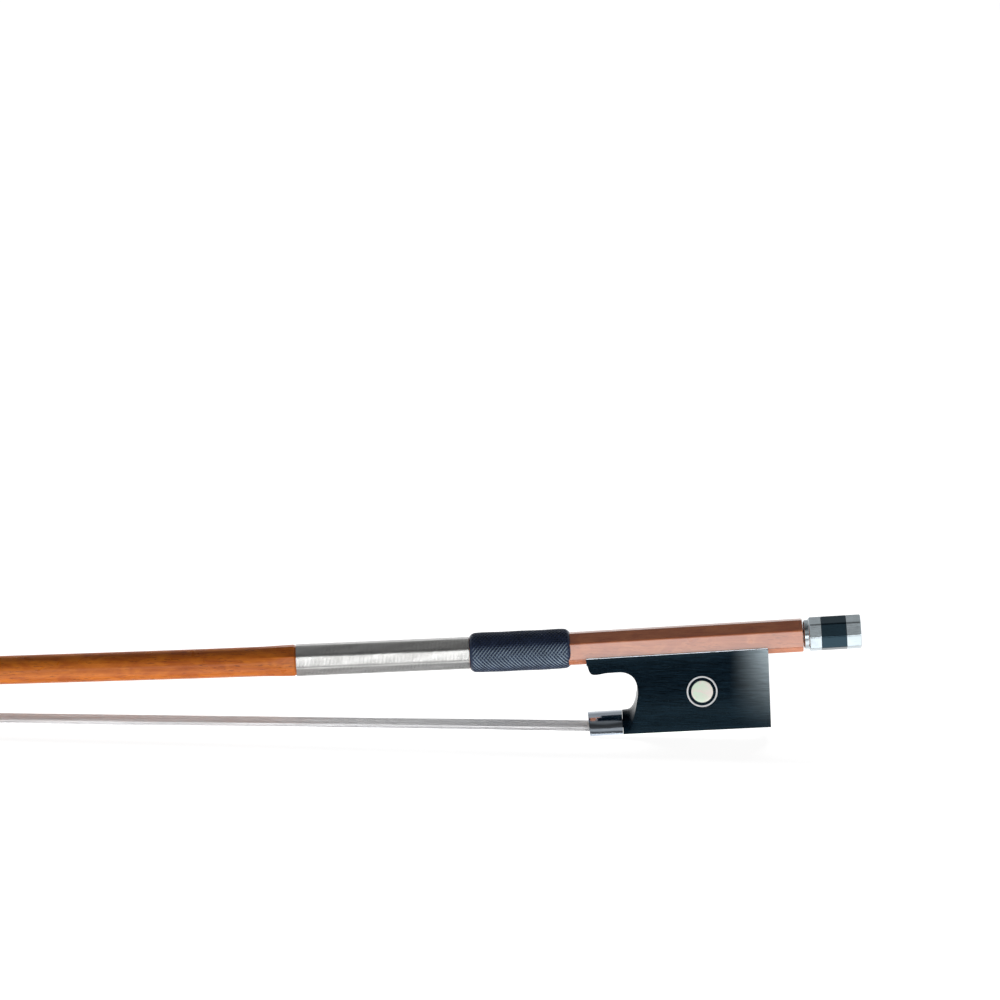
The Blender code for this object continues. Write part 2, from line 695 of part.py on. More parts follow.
def helix_shell(turns, count, first_turn):
    """Rows for one unbroken ridge: valley points, ridge points between them, and end loops.

    Gives the shell's (turns along, angle, is ridge) triples, its faces and its two end loops.
    """
    steps = turns * count
    valley = [(i / count, first_turn + i * 2 * math.pi / count, 0) for i in range(steps + 1)]
    ridge = [
        (i / count + 0.5, first_turn + i * 2 * math.pi / count, 1)
        for i in range(steps - count + 1)
    ]
    faces = []
    shift = steps + 1
    for i in range(steps - count):
        faces.append((i, i + 1, shift + i + 1, shift + i))
        faces.append((shift + i, shift + i + 1, i + count + 1, i + count))
    start = list(range(count + 1)) + [shift]
    end = list(range(steps - count, steps + 1)) + [shift + steps - count]
    return valley + ridge, faces, start, end


def loop_angles(count, first_turn, at_start):
    """Angles of the plain ring that meets a helix's end loop, its two extra points beside the seam."""
    step = 2 * math.pi / count
    seam = step / 8
    whole = [first_turn + i * step for i in range(count + 1)]
    if at_start:
        whole[count] -= 2 * seam
        return whole + [first_turn + 2 * math.pi - seam]
    whole[0] += 2 * seam
    return whole + [first_turn + seam]


def octagon_radius(angle):
    """Radius of an octagon of unit apothem whose corners lie at odd eighths of pi."""
    from_flat = (angle + math.pi / 8) % (math.pi / 4) - math.pi / 8
    return 1 / math.cos(from_flat)


def winding(parent):
    """The wire as one ridge that climbs at the wire's pitch, on an eight-sided sleeve."""
    count = 8
    first = math.pi / 8
    edge = WINDING_START + WINDING_PITCH
    bore = winding_bore()
    crest = bore + WINDING_WALL

    def point(along, angle, radius):
        centre, up = axis_frame(x_of_handle(along))
        reach = radius * octagon_radius(angle)
        return centre + Vector((0.0, reach * math.sin(angle), 0.0)) + up * (reach * math.cos(angle))

    rows, faces, start, end = helix_shell(WINDING_TURNS, count, first)
    shell = Shell()
    shell.ring(
        point(edge + along * WINDING_PITCH, angle, crest - WINDING_RELIEF * (1 - ridge))
        for along, angle, ridge in rows
    )
    shell.faces += faces
    valley = crest - WINDING_RELIEF
    stations = winding_stations()
    start_angles = loop_angles(count, first, True)
    end_angles = loop_angles(count, first, False)
    near_outer = shell.ring(point(stations[0], a, valley) for a in start_angles)
    far_outer = shell.ring(point(stations[-1], a, valley) for a in end_angles)
    inner = [shell.ring(point(along, a, bore) for a in start_angles) for along in stations]
    shell.bridge(near_outer, start)
    shell.bridge(end, far_outer)
    for one, two in zip(inner, inner[1:]):
        shell.bridge(two, one)
    shell.bridge(inner[0], near_outer)
    shell.bridge(far_outer, inner[-1])
    place("winding", shell, SILVER, parent)


def throat_line():
    """The throat from the ferrule round to the tongue's tip: distance from the butt, depth."""
    height = FERRULE_TOP - THROAT_TOP
    line = [(FROG_FRONT - behind, THROAT_TOP + share * height) for behind, share in THROAT]
    thick = THROAT_TOP - FROG_TOP
    line += [(TONGUE_TIP - behind, FROG_TOP + share * thick) for behind, share in TONGUE]
    return line


def frog_outline():
    """The frog from the side, up to its front under the stick, as (x, z) from the butt."""
    outline = [(-HEEL_TOP, -FROG_TOP), (-HEEL_BOTTOM, -HEEL_DEPTH)]
    outline += [(-FROG_FRONT, -FRONT_DEPTH), (-FROG_FRONT, -FERRULE_TOP)]
    outline += [(-along, -down) for along, down in throat_line()]
    outline.append((-TONGUE_TIP, -FROG_TOP))
    return outline


def throat_floor():
    """What is cut off either side of the throat's floor, so that it meets the ferrule's arch."""
    middle = (THROAT_TOP + FERRULE_TOP) / 2
    lower = [(along, down) for along, down in throat_line() if down > middle]
    floor = np.array([(FERRULE_FRONT, FERRULE_TOP), (FROG_FRONT, FERRULE_TOP)] + lower)[::-1]
    share = np.array([0.0, 0.35, 0.6, 0.8, 0.92, 0.98, 1.0])
    fall = FERRULE_HEIGHT * (1 - np.sqrt(1 - share**2))
    half = FROG_SOLE_WIDTH / 2
    rings = []
    for behind, arched in FLOOR_ARCH:
        down = float(np.interp(FROG_FRONT - behind, *floor.T)) - GLUE_GAP
        right = [(half * y, -down - arched * z) for y, z in zip(share, fall)]
        right.append((half + OVERCUT, -down - arched * (fall[-1] + OVERCUT)))
        right.append((half + OVERCUT, OVERCUT - middle))
        ring = right + [(-y, z) for y, z in right[:0:-1]]
        rings.append(across_x(behind - FROG_FRONT, ring))
    return loft(rings)


def sole_at(distance):
    """Depth of the frog's sole under the handle's axis, this far from the butt."""
    return FRONT_DEPTH + SOLE_SLOPE * (FROG_FRONT - distance) / FROG_LENGTH


def frog_half_width(down):
    """Half the frog's width at this depth: hollow cheeks, narrow at the stick."""
    share = (down - FROG_TOP) / (HEEL_DEPTH - FROG_TOP)
    swell = math.sin(min(max(share, 0.0), 1.0) * math.pi / 2) ** CHEEK_CURVE
    return FROG_TOP_WIDTH / 2 + (FROG_SOLE_WIDTH - FROG_TOP_WIDTH) / 2 * swell


def frog_width_section():
    depths = [FROG_TOP - OVERCUT] + list(np.linspace(FROG_TOP, HEEL_DEPTH, 8))
    right = [(frog_half_width(d), -d) for d in depths]
    right.append((FROG_SOLE_WIDTH / 2, -HEEL_DEPTH - OVERCUT))
    return right + [(-y, z) for y, z in right[::-1]]


def arch(width, top, bottom, spare=0.0):
    """A D outline, flat at the bottom, its round side a half ellipse up to top."""
    base = [(width / 2, -bottom - spare)] if spare else []
    angle = np.linspace(0.0, math.pi, 17)
    curve = [(width / 2 * math.cos(a), -bottom + (bottom - top) * math.sin(a)) for a in angle]
    return base + curve + [(-y, z) for y, z in base]


def arch_half_width(width, top, bottom, down):
    """Half the width of such a D outline at a depth."""
    return width / 2 * math.sqrt(1 - ((bottom - down) / (bottom - top)) ** 2)


def channel_outline(gap, lip):
    """The groove that holds the handle's three lower faces, at this distance from them."""
    half = BUTT_FLATS / 2
    corner = gap * math.tan(math.pi / 8)
    right = [
        (half + gap, -lip),
        (half + gap, -SIDE_BOTTOM - corner),
        (BOTTOM_FLAT / 2 + corner, -half - gap),
    ]
    return right + [(-y, z) for y, z in right[::-1]]


def frog(parent):
    """The frog's block with its tongue for the ferrule, and every seat cut in it."""
    obj = place("frog_body", prism(frog_outline(), FROG_SOLE_WIDTH), EBONY, parent)
    width = bar(frog_width_section(), 0.0, -TONGUE_TIP - OVERCUT)
    combine(obj, place("frog_width", width, None, parent), "INTERSECT")
    combine(obj, place("throat_floor_cut", throat_floor(), None, parent))
    inner_width = FERRULE_WIDTH - 2 * FERRULE_WALL - 2 * REST_GAP
    tongue_top = FERRULE_TOP + FERRULE_WALL + REST_GAP
    full_bottom = FRONT_DEPTH - FERRULE_WALL - REST_GAP
    tongue_bottom = WEDGE_TOP - REST_GAP
    tongue = [p for p in arch(inner_width, tongue_top, full_bottom) if p[1] > -tongue_bottom]
    corner = arch_half_width(inner_width, tongue_top, full_bottom, tongue_bottom)
    tongue = [(corner, -tongue_bottom)] + tongue + [(-corner, -tongue_bottom)]
    root = bar(tongue, -FROG_FRONT + OVERCUT, -FROG_FRONT - FERRULE_TONGUE)
    combine(obj, place("ferrule_tongue", root, None, parent), "UNION")

    handle_groove = channel_outline(RUN_GAP + UNDERSLIDE_WALL + GLUE_GAP, FROG_TOP - OVERCUT)
    handle_groove = bar(handle_groove, 0.0, -TONGUE_TIP - OVERCUT)
    combine(obj, place("handle_groove_cut", handle_groove, None, parent))
    groove = bar(slide_section(REST_GAP, OVERCUT), REST_GAP - SLIDE_START, -FROG_FRONT - OVERCUT)
    combine(obj, place("slide_cut", groove, None, parent))
    half_channel = CHANNEL_WIDTH / 2
    channel = box(
        (-FROG_FRONT - FERRULE_TONGUE - OVERCUT, -FROG_MORTISE_START),
        (-half_channel, half_channel),
        (-HEEL_DEPTH - OVERCUT, -CHANNEL_TOP),
    )
    combine(obj, place("hair_channel_cut", channel, None, parent))
    mortise = box(
        (-FROG_MORTISE_END, -FROG_MORTISE_START),
        (-half_channel, half_channel),
        (-HEEL_DEPTH, -FROG_MORTISE_TOP),
    )
    combine(obj, place("frog_mortise_cut", mortise, None, parent))
    shank = post(EYELET_SHANK / 2 + PIN_GAP, -EYELET_PLACE, -EYELET_DEPTH - REST_GAP, 0.0)
    combine(obj, place("eyelet_cut", shank, None, parent))
    for name, along in pin_places():
        pin = post(PIN_WIDTH / 2 + PIN_GAP, -along, -PIN_LENGTH - BUTT_FLATS / 2 - REST_GAP, 0.0)
        combine(obj, place(name + "_cut", pin, None, parent))
    face = frog_half_width(EYE_DEPTH)
    for side, name in ((-1, "left"), (1, "right")):
        near, far = sorted((side * (face - EYE_SUNK), side * (face + OVERCUT)))
        ring_floor = side * (face - EYE_SUNK)
        ring_cut = ring_across(
            EYE_RING_WIDTH / 2 + GLUE_GAP,
            EYE_RING_WIDTH / 2 - EYE_RING_WALL - GLUE_GAP,
            -EYE_PLACE, -EYE_DEPTH, ring_floor, side * (face + OVERCUT),
        )
        combine(obj, place(f"eye_ring_{name}_cut", ring_cut, None, parent))
        pearl_cut = disc_across(PEARL_WIDTH / 2 + GLUE_GAP, -EYE_PLACE, -EYE_DEPTH, near, far)
        combine(obj, place(f"eye_pearl_{name}_cut", pearl_cut, None, parent))


def slide_section(grow, below):
    """The dovetail of the slide, wider inside the frog; its floor follows the sole."""
    deep = FRONT_DEPTH - SLIDE_DEPTH
    low = HEEL_DEPTH + below
    inner = SLIDE_WIDTH / 2 + grow
    outer = inner - SLIDE_UNDERCUT * (low - deep) / SLIDE_DEPTH
    return [(inner, -deep + grow), (outer, -low), (-outer, -low), (-inner, -deep + grow)]


def slide(parent):
    """The slide's wooden base and its pearl, one over the other, flush with the sole."""
    top = FRONT_DEPTH - SLIDE_DEPTH

    def layer(high, low_start, low_end):
        """A dovetailed slab between depth high and a lower face that may slope."""
        rings = []
        for along, low in ((SLIDE_START, low_start), (FROG_FRONT - REST_GAP, low_end)):
            half = [SLIDE_WIDTH / 2 - SLIDE_UNDERCUT * (d - top) / SLIDE_DEPTH for d in (high, low)]
            corners = ((half[0], -high), (half[1], -low), (-half[1], -low), (-half[0], -high))
            rings.append(across_x(-along, corners))
        return loft(rings)

    split = FRONT_DEPTH - PEARL_SLAB
    place("slide_base", layer(top, split - GLUE_GAP, split - GLUE_GAP), EBONY, parent)
    place("pearl_slide", layer(split, sole_at(SLIDE_START), sole_at(FROG_FRONT)), PEARL, parent)


def frog_knot(parent):
    """The tied end of the hair in the frog, round its plug."""
    back = FROG_MORTISE_START + REST_GAP
    front = FROG_MORTISE_END - REST_GAP
    top = FROG_MORTISE_TOP + REST_GAP
    low = HAIR_FROG_DEPTH + HAIR_THICKNESS / 2
    shelf = HAIR_FROG_DEPTH - HAIR_THICKNESS / 2 + REST_GAP
    outline = [(back, top), (front, top), (front, top + KNOT_THICKNESS)]
    outline += [(back + KNOT_LEG, top + KNOT_THICKNESS), (back + KNOT_LEG, shelf)]
    outline += [(front, shelf), (front, low), (back, low)]
    width = HAIR_NECK_WIDTH / 2
    place("frog_hair_knot", prism([(-s, -d) for s, d in outline], width), HAIR, parent)
    plug = [(back + KNOT_LEG + REST_GAP, top + KNOT_THICKNESS + REST_GAP)]
    plug += [(front, top + KNOT_THICKNESS + REST_GAP), (front, shelf - REST_GAP)]
    plug += [(back + KNOT_LEG + REST_GAP, shelf - REST_GAP)]
    place("frog_plug", prism([(-s, -d) for s, d in plug], width), PLUG, parent)


def ferrule(parent):
    """The D-shaped ring, its mouth slanted a little, and the wedge inside it."""
    back = FROG_FRONT + REST_GAP
    outer = arch(FERRULE_WIDTH, FERRULE_TOP, FRONT_DEPTH)
    inside = (
        FERRULE_WIDTH - 2 * FERRULE_WALL, FERRULE_TOP + FERRULE_WALL, FRONT_DEPTH - FERRULE_WALL
    )
    inner = arch(*inside)

    def mouth(outline):
        slant = FERRULE_SLANT / FERRULE_HEIGHT
        return [(slant * (-z - FERRULE_TOP) - FERRULE_FRONT, y, z) for y, z in outline]

    rings = [across_x(-back, outer), mouth(outer), mouth(inner), across_x(-back, inner)]
    place("ferrule", loft(rings, closed=True), SILVER, parent)
    half = arch_half_width(*inside, WEDGE_TOP) - 2 * REST_GAP
    front = FERRULE_FRONT - WEDGE_SETBACK
    rear = front - WEDGE_LENGTH
    low = HAIR_TOP - 2 * REST_GAP
    outline = [(-front, -WEDGE_TOP), (-front, -low)]
    outline += [(-rear, HAIR_RISE - low), (-rear, -WEDGE_TOP)]
    place("ferrule_wedge", prism(outline, half), PLUG, parent)


def pin_places():
    return (
        ("underslide_pin_rear", HEEL_TOP + PIN_INSET),
        ("underslide_pin_front", TONGUE_TIP - PIN_INSET),
    )


def underslide(parent):
    """The metal lining under the handle, and the pins that hold it in the frog."""
    lip = FROG_TOP - UNDERSLIDE_PROUD
    outer = channel_outline(RUN_GAP + UNDERSLIDE_WALL, lip)
    inner = channel_outline(RUN_GAP, lip)
    outline = outer + inner[::-1]
    obj = place(
        "underslide", bar(outline, -HEEL_TOP - REST_GAP, REST_GAP - TONGUE_TIP), SILVER, parent
    )
    shank = post(EYELET_SHANK / 2 + REST_GAP, -EYELET_PLACE, -EYELET_DEPTH, 0.0)
    combine(obj, place("underslide_eyelet_cut", shank, None, parent))
    floor = BUTT_FLATS / 2 + RUN_GAP
    for name, along in pin_places():
        hole = post(PIN_WIDTH / 2 + PIN_GAP, -along, -floor - OVERCUT, 0.0)
        combine(obj, place(name + "_hole", hole, None, parent))
        top = -floor - GLUE_GAP
        place(name, post(PIN_WIDTH / 2, -along, -PIN_LENGTH - BUTT_FLATS / 2, top), SILVER, parent)


def eyelet(parent):
    """The brass nut: a block round the screw, on a shank that stands in the frog."""
    half = EYELET_LENGTH / 2
    low = -BUTT_FLATS / 2 + REST_GAP
    block = box(
        (-EYELET_PLACE - half, -EYELET_PLACE + half),
        (-EYELET_WIDTH / 2, EYELET_WIDTH / 2),
        (low, EYELET_TOP),
    )
    obj = place("eyelet", block, BRASS, parent)
    shank = post(EYELET_SHANK / 2, -EYELET_PLACE, -EYELET_DEPTH, low + EYELET_ROOT)
    combine(obj, place("eyelet_shank", shank, None, parent), "UNION")
    reach = EYELET_PLACE + half + OVERCUT
    hole = rod(SCREW_WIDTH / 2 + PIN_GAP, -EYELET_PLACE + half + OVERCUT, -reach)
    combine(obj, place("eyelet_hole", hole, None, parent))


def screw(parent):
    """The screw: tail in the button, shank, thread as one ridge, and front journal."""
    count = 12
    rows, faces, start, end = helix_shell(THREAD_TURNS, count, 0.0)
    root = SCREW_ROOT / 2
    crest = SCREW_WIDTH / 2

    def point(along, angle, radius):
        return (-along, radius * math.sin(angle), radius * math.cos(angle))

    shell = Shell()
    shell.ring(
        point(THREAD_START + along * SCREW_PITCH, angle, crest if ridge else root)
        for along, angle, ridge in rows
    )
    shell.faces += faces
    start_angles = loop_angles(count, 0.0, True)
    end_angles = loop_angles(count, 0.0, False)
    neck = THREAD_START - SCREW_PITCH
    near = [(-SCREW_TAIL, crest), (neck - SCREW_PITCH, crest), (neck, root)]
    far = [(THREAD_END + SCREW_PITCH / 2, root), (THREAD_END + SCREW_PITCH, JOURNAL_WIDTH / 2)]
    far.append((THREAD_END + JOURNAL_LENGTH, JOURNAL_WIDTH / 2))
    near_rings = [shell.ring(point(s, a, r) for a in start_angles) for s, r in near]
    far_rings = [shell.ring(point(s, a, r) for a in end_angles) for s, r in far]
    for one, two in zip(near_rings + [start], near_rings[1:] + [start]):
        if one is not two:
            shell.bridge(one, two)
    for one, two in zip([end] + far_rings, far_rings):
        shell.bridge(one, two)
    shell.cap(near_rings[0])
    shell.cap(far_rings[-1])
    place("screw", shell, STEEL, parent)


def button(parent):
    """The octagonal button: an ebony core between two metal rings, the rear one closed."""
    half = BUTTON_FLATS / 2
    spigot = SPIGOT_WIDTH / 2
    bore = SCREW_WIDTH / 2 + PIN_GAP
    front = BUTT_GAP + COLLAR_LENGTH
    cap = BUTTON_END - CAP_WALL
    flat = octagon(1.0, BUTTON_TURN)
    ring_bore = circle(spigot + REST_GAP)

    rings = [
        across_x(BUTT_GAP, circle(COLLAR_WIDTH / 2 * 0.86)),
        across_x(BUTT_GAP + BUTTON_CHAMFER, circle(COLLAR_WIDTH / 2 * 0.96)),
        across_x(BUTT_GAP + COLLAR_LENGTH * 0.6, circle(COLLAR_WIDTH / 2)),
        across_x(front, flat * (half - BUTTON_CHAMFER)),
        across_x(front + BUTTON_CHAMFER, flat * half),
        across_x(BAND_START - REST_GAP, flat * half),
        across_x(BAND_START - REST_GAP, ring_bore),
        across_x(BUTT_GAP, ring_bore),
    ]
    place("button_front_ring", loft(rings, closed=True), SILVER, parent)

    rings = [
        across_x(BUTT_GAP + REST_GAP, circle(spigot)),
        across_x(BAND_START, circle(spigot)),
        across_x(BAND_START, flat * half),
        across_x(BAND_END, flat * half),
        across_x(BAND_END, circle(spigot)),
        across_x(cap - REST_GAP, circle(spigot)),
        across_x(cap - REST_GAP, circle(bore)),
        across_x(BUTT_GAP + REST_GAP, circle(bore)),
    ]
    place("button_core", loft(rings, closed=True), EBONY, parent)

    rings = [
        across_x(cap, ring_bore),
        across_x(BAND_END + REST_GAP, ring_bore),
        across_x(BAND_END + REST_GAP, flat * half),
        across_x(BUTTON_END - BUTTON_CHAMFER, flat * half),
        across_x(BUTTON_END, flat * (half - BUTTON_CHAMFER)),
    ]
    place("button_rear_ring", loft(rings), SILVER, parent)


def eyes(parent):
    """On each side of the frog: a metal ring, and a pearl disc inside the ebony it leaves."""
    face = frog_half_width(EYE_DEPTH)
    for side, name in ((-1, "left"), (1, "right")):
        floor = side * (face - EYE_SUNK + GLUE_GAP)
        top = side * (face + EYE_PROUD)
        ring = ring_across(
            EYE_RING_WIDTH / 2, EYE_RING_WIDTH / 2 - EYE_RING_WALL, -EYE_PLACE, -EYE_DEPTH, floor, top
        )
        place(f"eye_ring_{name}", ring, SILVER, parent)
        pearl = disc_across(PEARL_WIDTH / 2, -EYE_PLACE, -EYE_DEPTH, floor, top)
        place(f"eye_pearl_{name}", pearl, PEARL, parent)


def empty(name, location, tilt, parent):
    obj = bpy.data.objects.new(name, None)
    bpy.context.scene.collection.objects.link(obj)
    obj.parent = parent
    obj.location = location
    obj.rotation_euler = (0.0, -tilt, 0.0)
    return obj


def resting_place():
    """The turn and shift that stand the bow on its ferrule and on its hair at the head."""
    ferrule_edge = BUTT - (FERRULE_FRONT - FERRULE_SLANT) * HANDLE_DIRECTION
    ferrule_edge -= FRONT_DEPTH * HANDLE_UP
    hair_edge = Vector((-HAIR_LENGTH - HAIR_LOWEST, 0.0, -HAIR_HEAD_THICKNESS / 2))
    lean = math.atan2(hair_edge.z - ferrule_edge.z, ferrule_edge.x - hair_edge.x)
    turn = Matrix.Rotation(-lean, 3, "Y")
    corner = octagon(1.0, BUTTON_TURN) * (BUTTON_FLATS / 2)
    lowest = float(corner[:, 1].min())
    edge = BUTT + (BUTTON_END - BUTTON_CHAMFER) * HANDLE_DIRECTION + lowest * HANDLE_UP
    beak = HEAD_SECTIONS[-1]
    nose = Vector((-HAIR_LENGTH - beak[0] - PLATE_REACH, 0.0, beak[1]))
    right = (turn @ edge).x
    left = (turn @ nose).x
    floor = (turn @ ferrule_edge).z
    return lean, Vector((-(left + right) / 2, 0.0, -floor))


for leftover in list(bpy.data.objects):
    bpy.data.objects.remove(leftover, do_unlink=True)

WOOD = finish("pernambuco", (0.42, 0.15, 0.045), 0.35)
EBONY = finish("ebony", (0.012, 0.014, 0.018), 0.35)
SILVER = finish("silver", (0.78, 0.78, 0.77), 0.25, 1.0)
BRASS = finish("brass", (0.72, 0.52, 0.22), 0.3, 1.0)
STEEL = finish("steel", (0.55, 0.55, 0.56), 0.3, 1.0)
HAIR = finish("horsehair", (0.82, 0.80, 0.74), 0.5)
PEARL = finish("pearl", (0.75, 0.82, 0.74), 0.25)
LEATHER = finish("leather", (0.02, 0.024, 0.035), 0.5)
PLUG = finish("plug_wood", (0.55, 0.40, 0.24), 0.6)
PLATE = finish("head_plate", (0.86, 0.83, 0.74), 0.35)

PLATE_REACH = 2 * GLUE_GAP + LINER_THICKNESS + PLATE_THICKNESS
LEAN, SHIFT = resting_place()
BOW = empty("hair_line", SHIFT, LEAN, None)
HANDLE = empty("handle_axis", BUTT, HANDLE_TILT, BOW)
FROG = empty("frog_slide_axis", (0.0, 0.0, 0.0), 0.0, HANDLE)
SCREW = empty("screw_axis", (0.0, 0.0, 0.0), 0.0, HANDLE)

stick(BOW, HANDLE)
facing("head_liner", GLUE_GAP, GLUE_GAP + LINER_THICKNESS, 0.0, EBONY, BOW)
facing("head_plate", 2 * GLUE_GAP + LINER_THICKNESS, PLATE_REACH, PLATE_TIP, PLATE, BOW)
head_knot(BOW)
hair(BOW)
grip(BOW)
winding(BOW)
frog(FROG)
ferrule(FROG)
slide(FROG)
frog_knot(FROG)
underslide(FROG)
eyelet(FROG)
eyes(FROG)
screw(SCREW)
button(SCREW)
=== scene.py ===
"""A violin bow dressed for its picture, in metres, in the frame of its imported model."""

import math

import bmesh
import bpy
import numpy as np
from mathutils import Matrix, Vector


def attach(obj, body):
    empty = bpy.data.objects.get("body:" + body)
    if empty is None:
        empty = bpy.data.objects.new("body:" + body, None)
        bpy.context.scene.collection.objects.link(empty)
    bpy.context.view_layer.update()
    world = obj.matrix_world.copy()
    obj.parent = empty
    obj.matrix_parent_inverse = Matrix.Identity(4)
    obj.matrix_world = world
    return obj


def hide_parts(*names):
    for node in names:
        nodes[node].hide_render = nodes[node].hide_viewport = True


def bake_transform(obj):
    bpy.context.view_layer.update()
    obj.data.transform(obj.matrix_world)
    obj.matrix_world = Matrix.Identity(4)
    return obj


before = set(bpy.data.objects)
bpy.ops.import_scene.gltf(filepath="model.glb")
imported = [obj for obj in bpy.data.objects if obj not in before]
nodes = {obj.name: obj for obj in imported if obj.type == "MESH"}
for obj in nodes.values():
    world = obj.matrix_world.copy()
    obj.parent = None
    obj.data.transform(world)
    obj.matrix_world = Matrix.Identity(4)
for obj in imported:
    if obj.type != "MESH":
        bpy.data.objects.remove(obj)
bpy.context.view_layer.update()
rng = np.random.default_rng(11)

# Where the line of the hair and the handle's axis lie
HAIR_PLACE = np.array((0.300377, 0.0, 0.001573))
HAIR_LEAN = 0.0018708
HANDLE_TILT = math.radians(4.15)

# Stick
HAIR_LENGTH = 0.6504
STICK_HEIGHT = 0.02105
BUTT_FLATS = 0.0083
TOP_FLAT, SIDE_TOP, SIDE_BOTTOM, BOTTOM_FLAT = 0.0028, 0.0018, 0.00275, 0.0054
FERRULE_FRONT = 0.0578
HANDLE_STRAIGHT = FERRULE_FRONT + 0.0022
# Height of the stick's axis over the hair, by the share of the hair's length
CAMBER = (
    (0.053, 0.0190), (0.122, 0.0165), (0.198, 0.0141), (0.330, 0.01057), (0.462, 0.0081),
    (0.594, 0.00715), (0.727, 0.00834), (0.808, 0.01015), (0.889, 0.0131), (0.929, 0.0154),
    (0.969, 0.0185), (0.990, 0.0203),
)
# Thickness of the stick by the same share, for a butt of 1
TAPER = (
    (-0.110, 1.0), (0.000, 0.987), (0.050, 0.958), (0.122, 0.947), (0.198, 0.922),
    (0.727, 0.728), (0.800, 0.707), (0.890, 0.689), (0.929, 0.669), (0.950, 0.636),
    (0.969, 0.588), (0.990, 0.534),
)
# The head from its back to its face: the ridge's place past the hair's end and its height, the
# throat's place and height, half the width, half the ridge's, and head_rings' bow and dip
HEAD_SECTIONS = np.array((
    (-0.0026, 0.02303, -0.0052, 0.01810, 0.00250, 0.0010, 0.0, 0.0),
    (0.0012, 0.02350, -0.0036, 0.01750, 0.00275, 0.0006, 0.0, 0.0),
    (0.0042, 0.02379, -0.0026, 0.01685, 0.00295, 0.0004, 0.0, 0.0),
    (0.0065, 0.02360, -0.0019, 0.01610, 0.00305, 0.0003, 0.0, 0.0),
    (0.0081, 0.02285, -0.00125, 0.01510, 0.00315, 0.0002, 0.0, 0.0),
    (0.0092, 0.02165, -0.00078, 0.01410, 0.00322, 0.0002, 0.0, 0.0),
    (0.0099, 0.02000, -0.0005, 0.01310, 0.00330, 0.0002, 0.0, 0.0),
    (0.0105, 0.01800, -0.00025, 0.01190, 0.00345, 0.0002, 0.0, 0.0),
    (0.0112, 0.01560, -0.00005, 0.01040, 0.00365, 0.0003, 0.0, 0.0),
    (0.0121, 0.01320, 0.00008, 0.00900, 0.00390, 0.0004, 0.00005, 0.0),
    (0.0133, 0.01100, 0.00012, 0.00750, 0.00415, 0.0005, 0.0001, 0.0),
    (0.0149, 0.00925, 0.00014, 0.00600, 0.00440, 0.0006, 0.00015, 0.0),
    (0.0166, 0.00820, 0.00012, 0.00470, 0.00465, 0.0008, 0.0002, 0.0010),
    (0.0184, 0.00790, 0.0001, 0.00350, 0.00485, 0.0010, 0.0003, 0.0025),
    (0.02045, 0.00890, 0.00003, 0.00240, 0.00500, 0.0012, 0.0004, 0.0050),
    (0.0207, 0.00685, -0.0001, 0.00145, 0.00510, 0.0013, 0.00055, 0.0),
))
# Down the head's side: the share of the way up to the ridge, and of half the width
HEAD_PROFILE = np.array((
    (1.0, 0.0), (0.985, 0.04), (0.90, 0.36), (0.76, 0.60), (0.55, 0.81), (0.30, 0.95),
    (0.05, 1.0), (0.0, 0.84), (0.0, 0.0),
))
# Plate, liner, and what is cut in the stick
LINER_THICKNESS, PLATE_THICKNESS, PLATE_TIP = 0.00035, 0.0007, 0.0006
HEAD_MORTISE_START, HEAD_MORTISE_LENGTH = 0.0042, 0.0062
HEAD_MORTISE_WIDTH, HEAD_MORTISE_TOP = 0.0056, 0.0076
FACING_BEVEL = 0.00015
BUTT_EDGE = ((0.0, 0.00022), (0.00012, 0.00007), (0.0004, 0.0))
SCREW_BORE, SCREW_BORE_END = 0.0017, -0.0366
JOURNAL_BORE, JOURNAL_START, JOURNAL_END = 0.00125, -0.0350, -0.0452
NUT_SLOT = ((-0.0406, -0.0019, -0.0083), (-0.0258, 0.0019, 0.0025))
SPARE = 0.001

# Grip and winding
TONGUE_TIP = FERRULE_FRONT - 0.0003
GRIP_START, GRIP_LENGTH, GRIP_WALL = TONGUE_TIP + 0.0039, 0.0266, 0.0011
GRIP_END = GRIP_START + GRIP_LENGTH
WINDING_START, WINDING_LENGTH = GRIP_END + 0.0001, 0.0460
WINDING_END = WINDING_START + WINDING_LENGTH
WINDING_PITCH, WINDING_WALL, WINDING_SINK = 0.00036, 0.00030, 0.00016
WIRE_RUN, WIRE_RELIEF, WIRE_WOBBLE, WOBBLE_RATE = 0.04575, 0.00013, 0.000012, 2100
WIRE_COLUMNS = np.array((-0.81, -0.47, -0.21, -0.04, 0.04, 0.21, 0.47, 0.81))
RIB_HEIGHT, RIB_PITCH, RIB_COUNT, RIB_WIDTH, RIB_CREST = 0.00016, 0.00097, 28, 0.17, 0.13
LAP_HEIGHT, LUMP_HEIGHT, LUMP_RATE = 0.00016, 0.00003, 610
# Share of the grip's wall by the distance along it
GRIP_PROFILE = (
    (0.0, 0.10), (0.0002, 0.45), (0.0006, 0.75), (0.0014, 0.93), (0.0030, 1.0),
    (GRIP_LENGTH / 2, 1.03), (GRIP_LENGTH - 0.0030, 1.06), (GRIP_LENGTH - 0.0014, 0.99),
    (GRIP_LENGTH - 0.0006, 0.80), (GRIP_LENGTH - 0.0002, 0.50), (GRIP_LENGTH, 0.15),
)
RUN_GAP, GLUE_GAP, REST_GAP = 0.0001, 0.00003, 0.0001

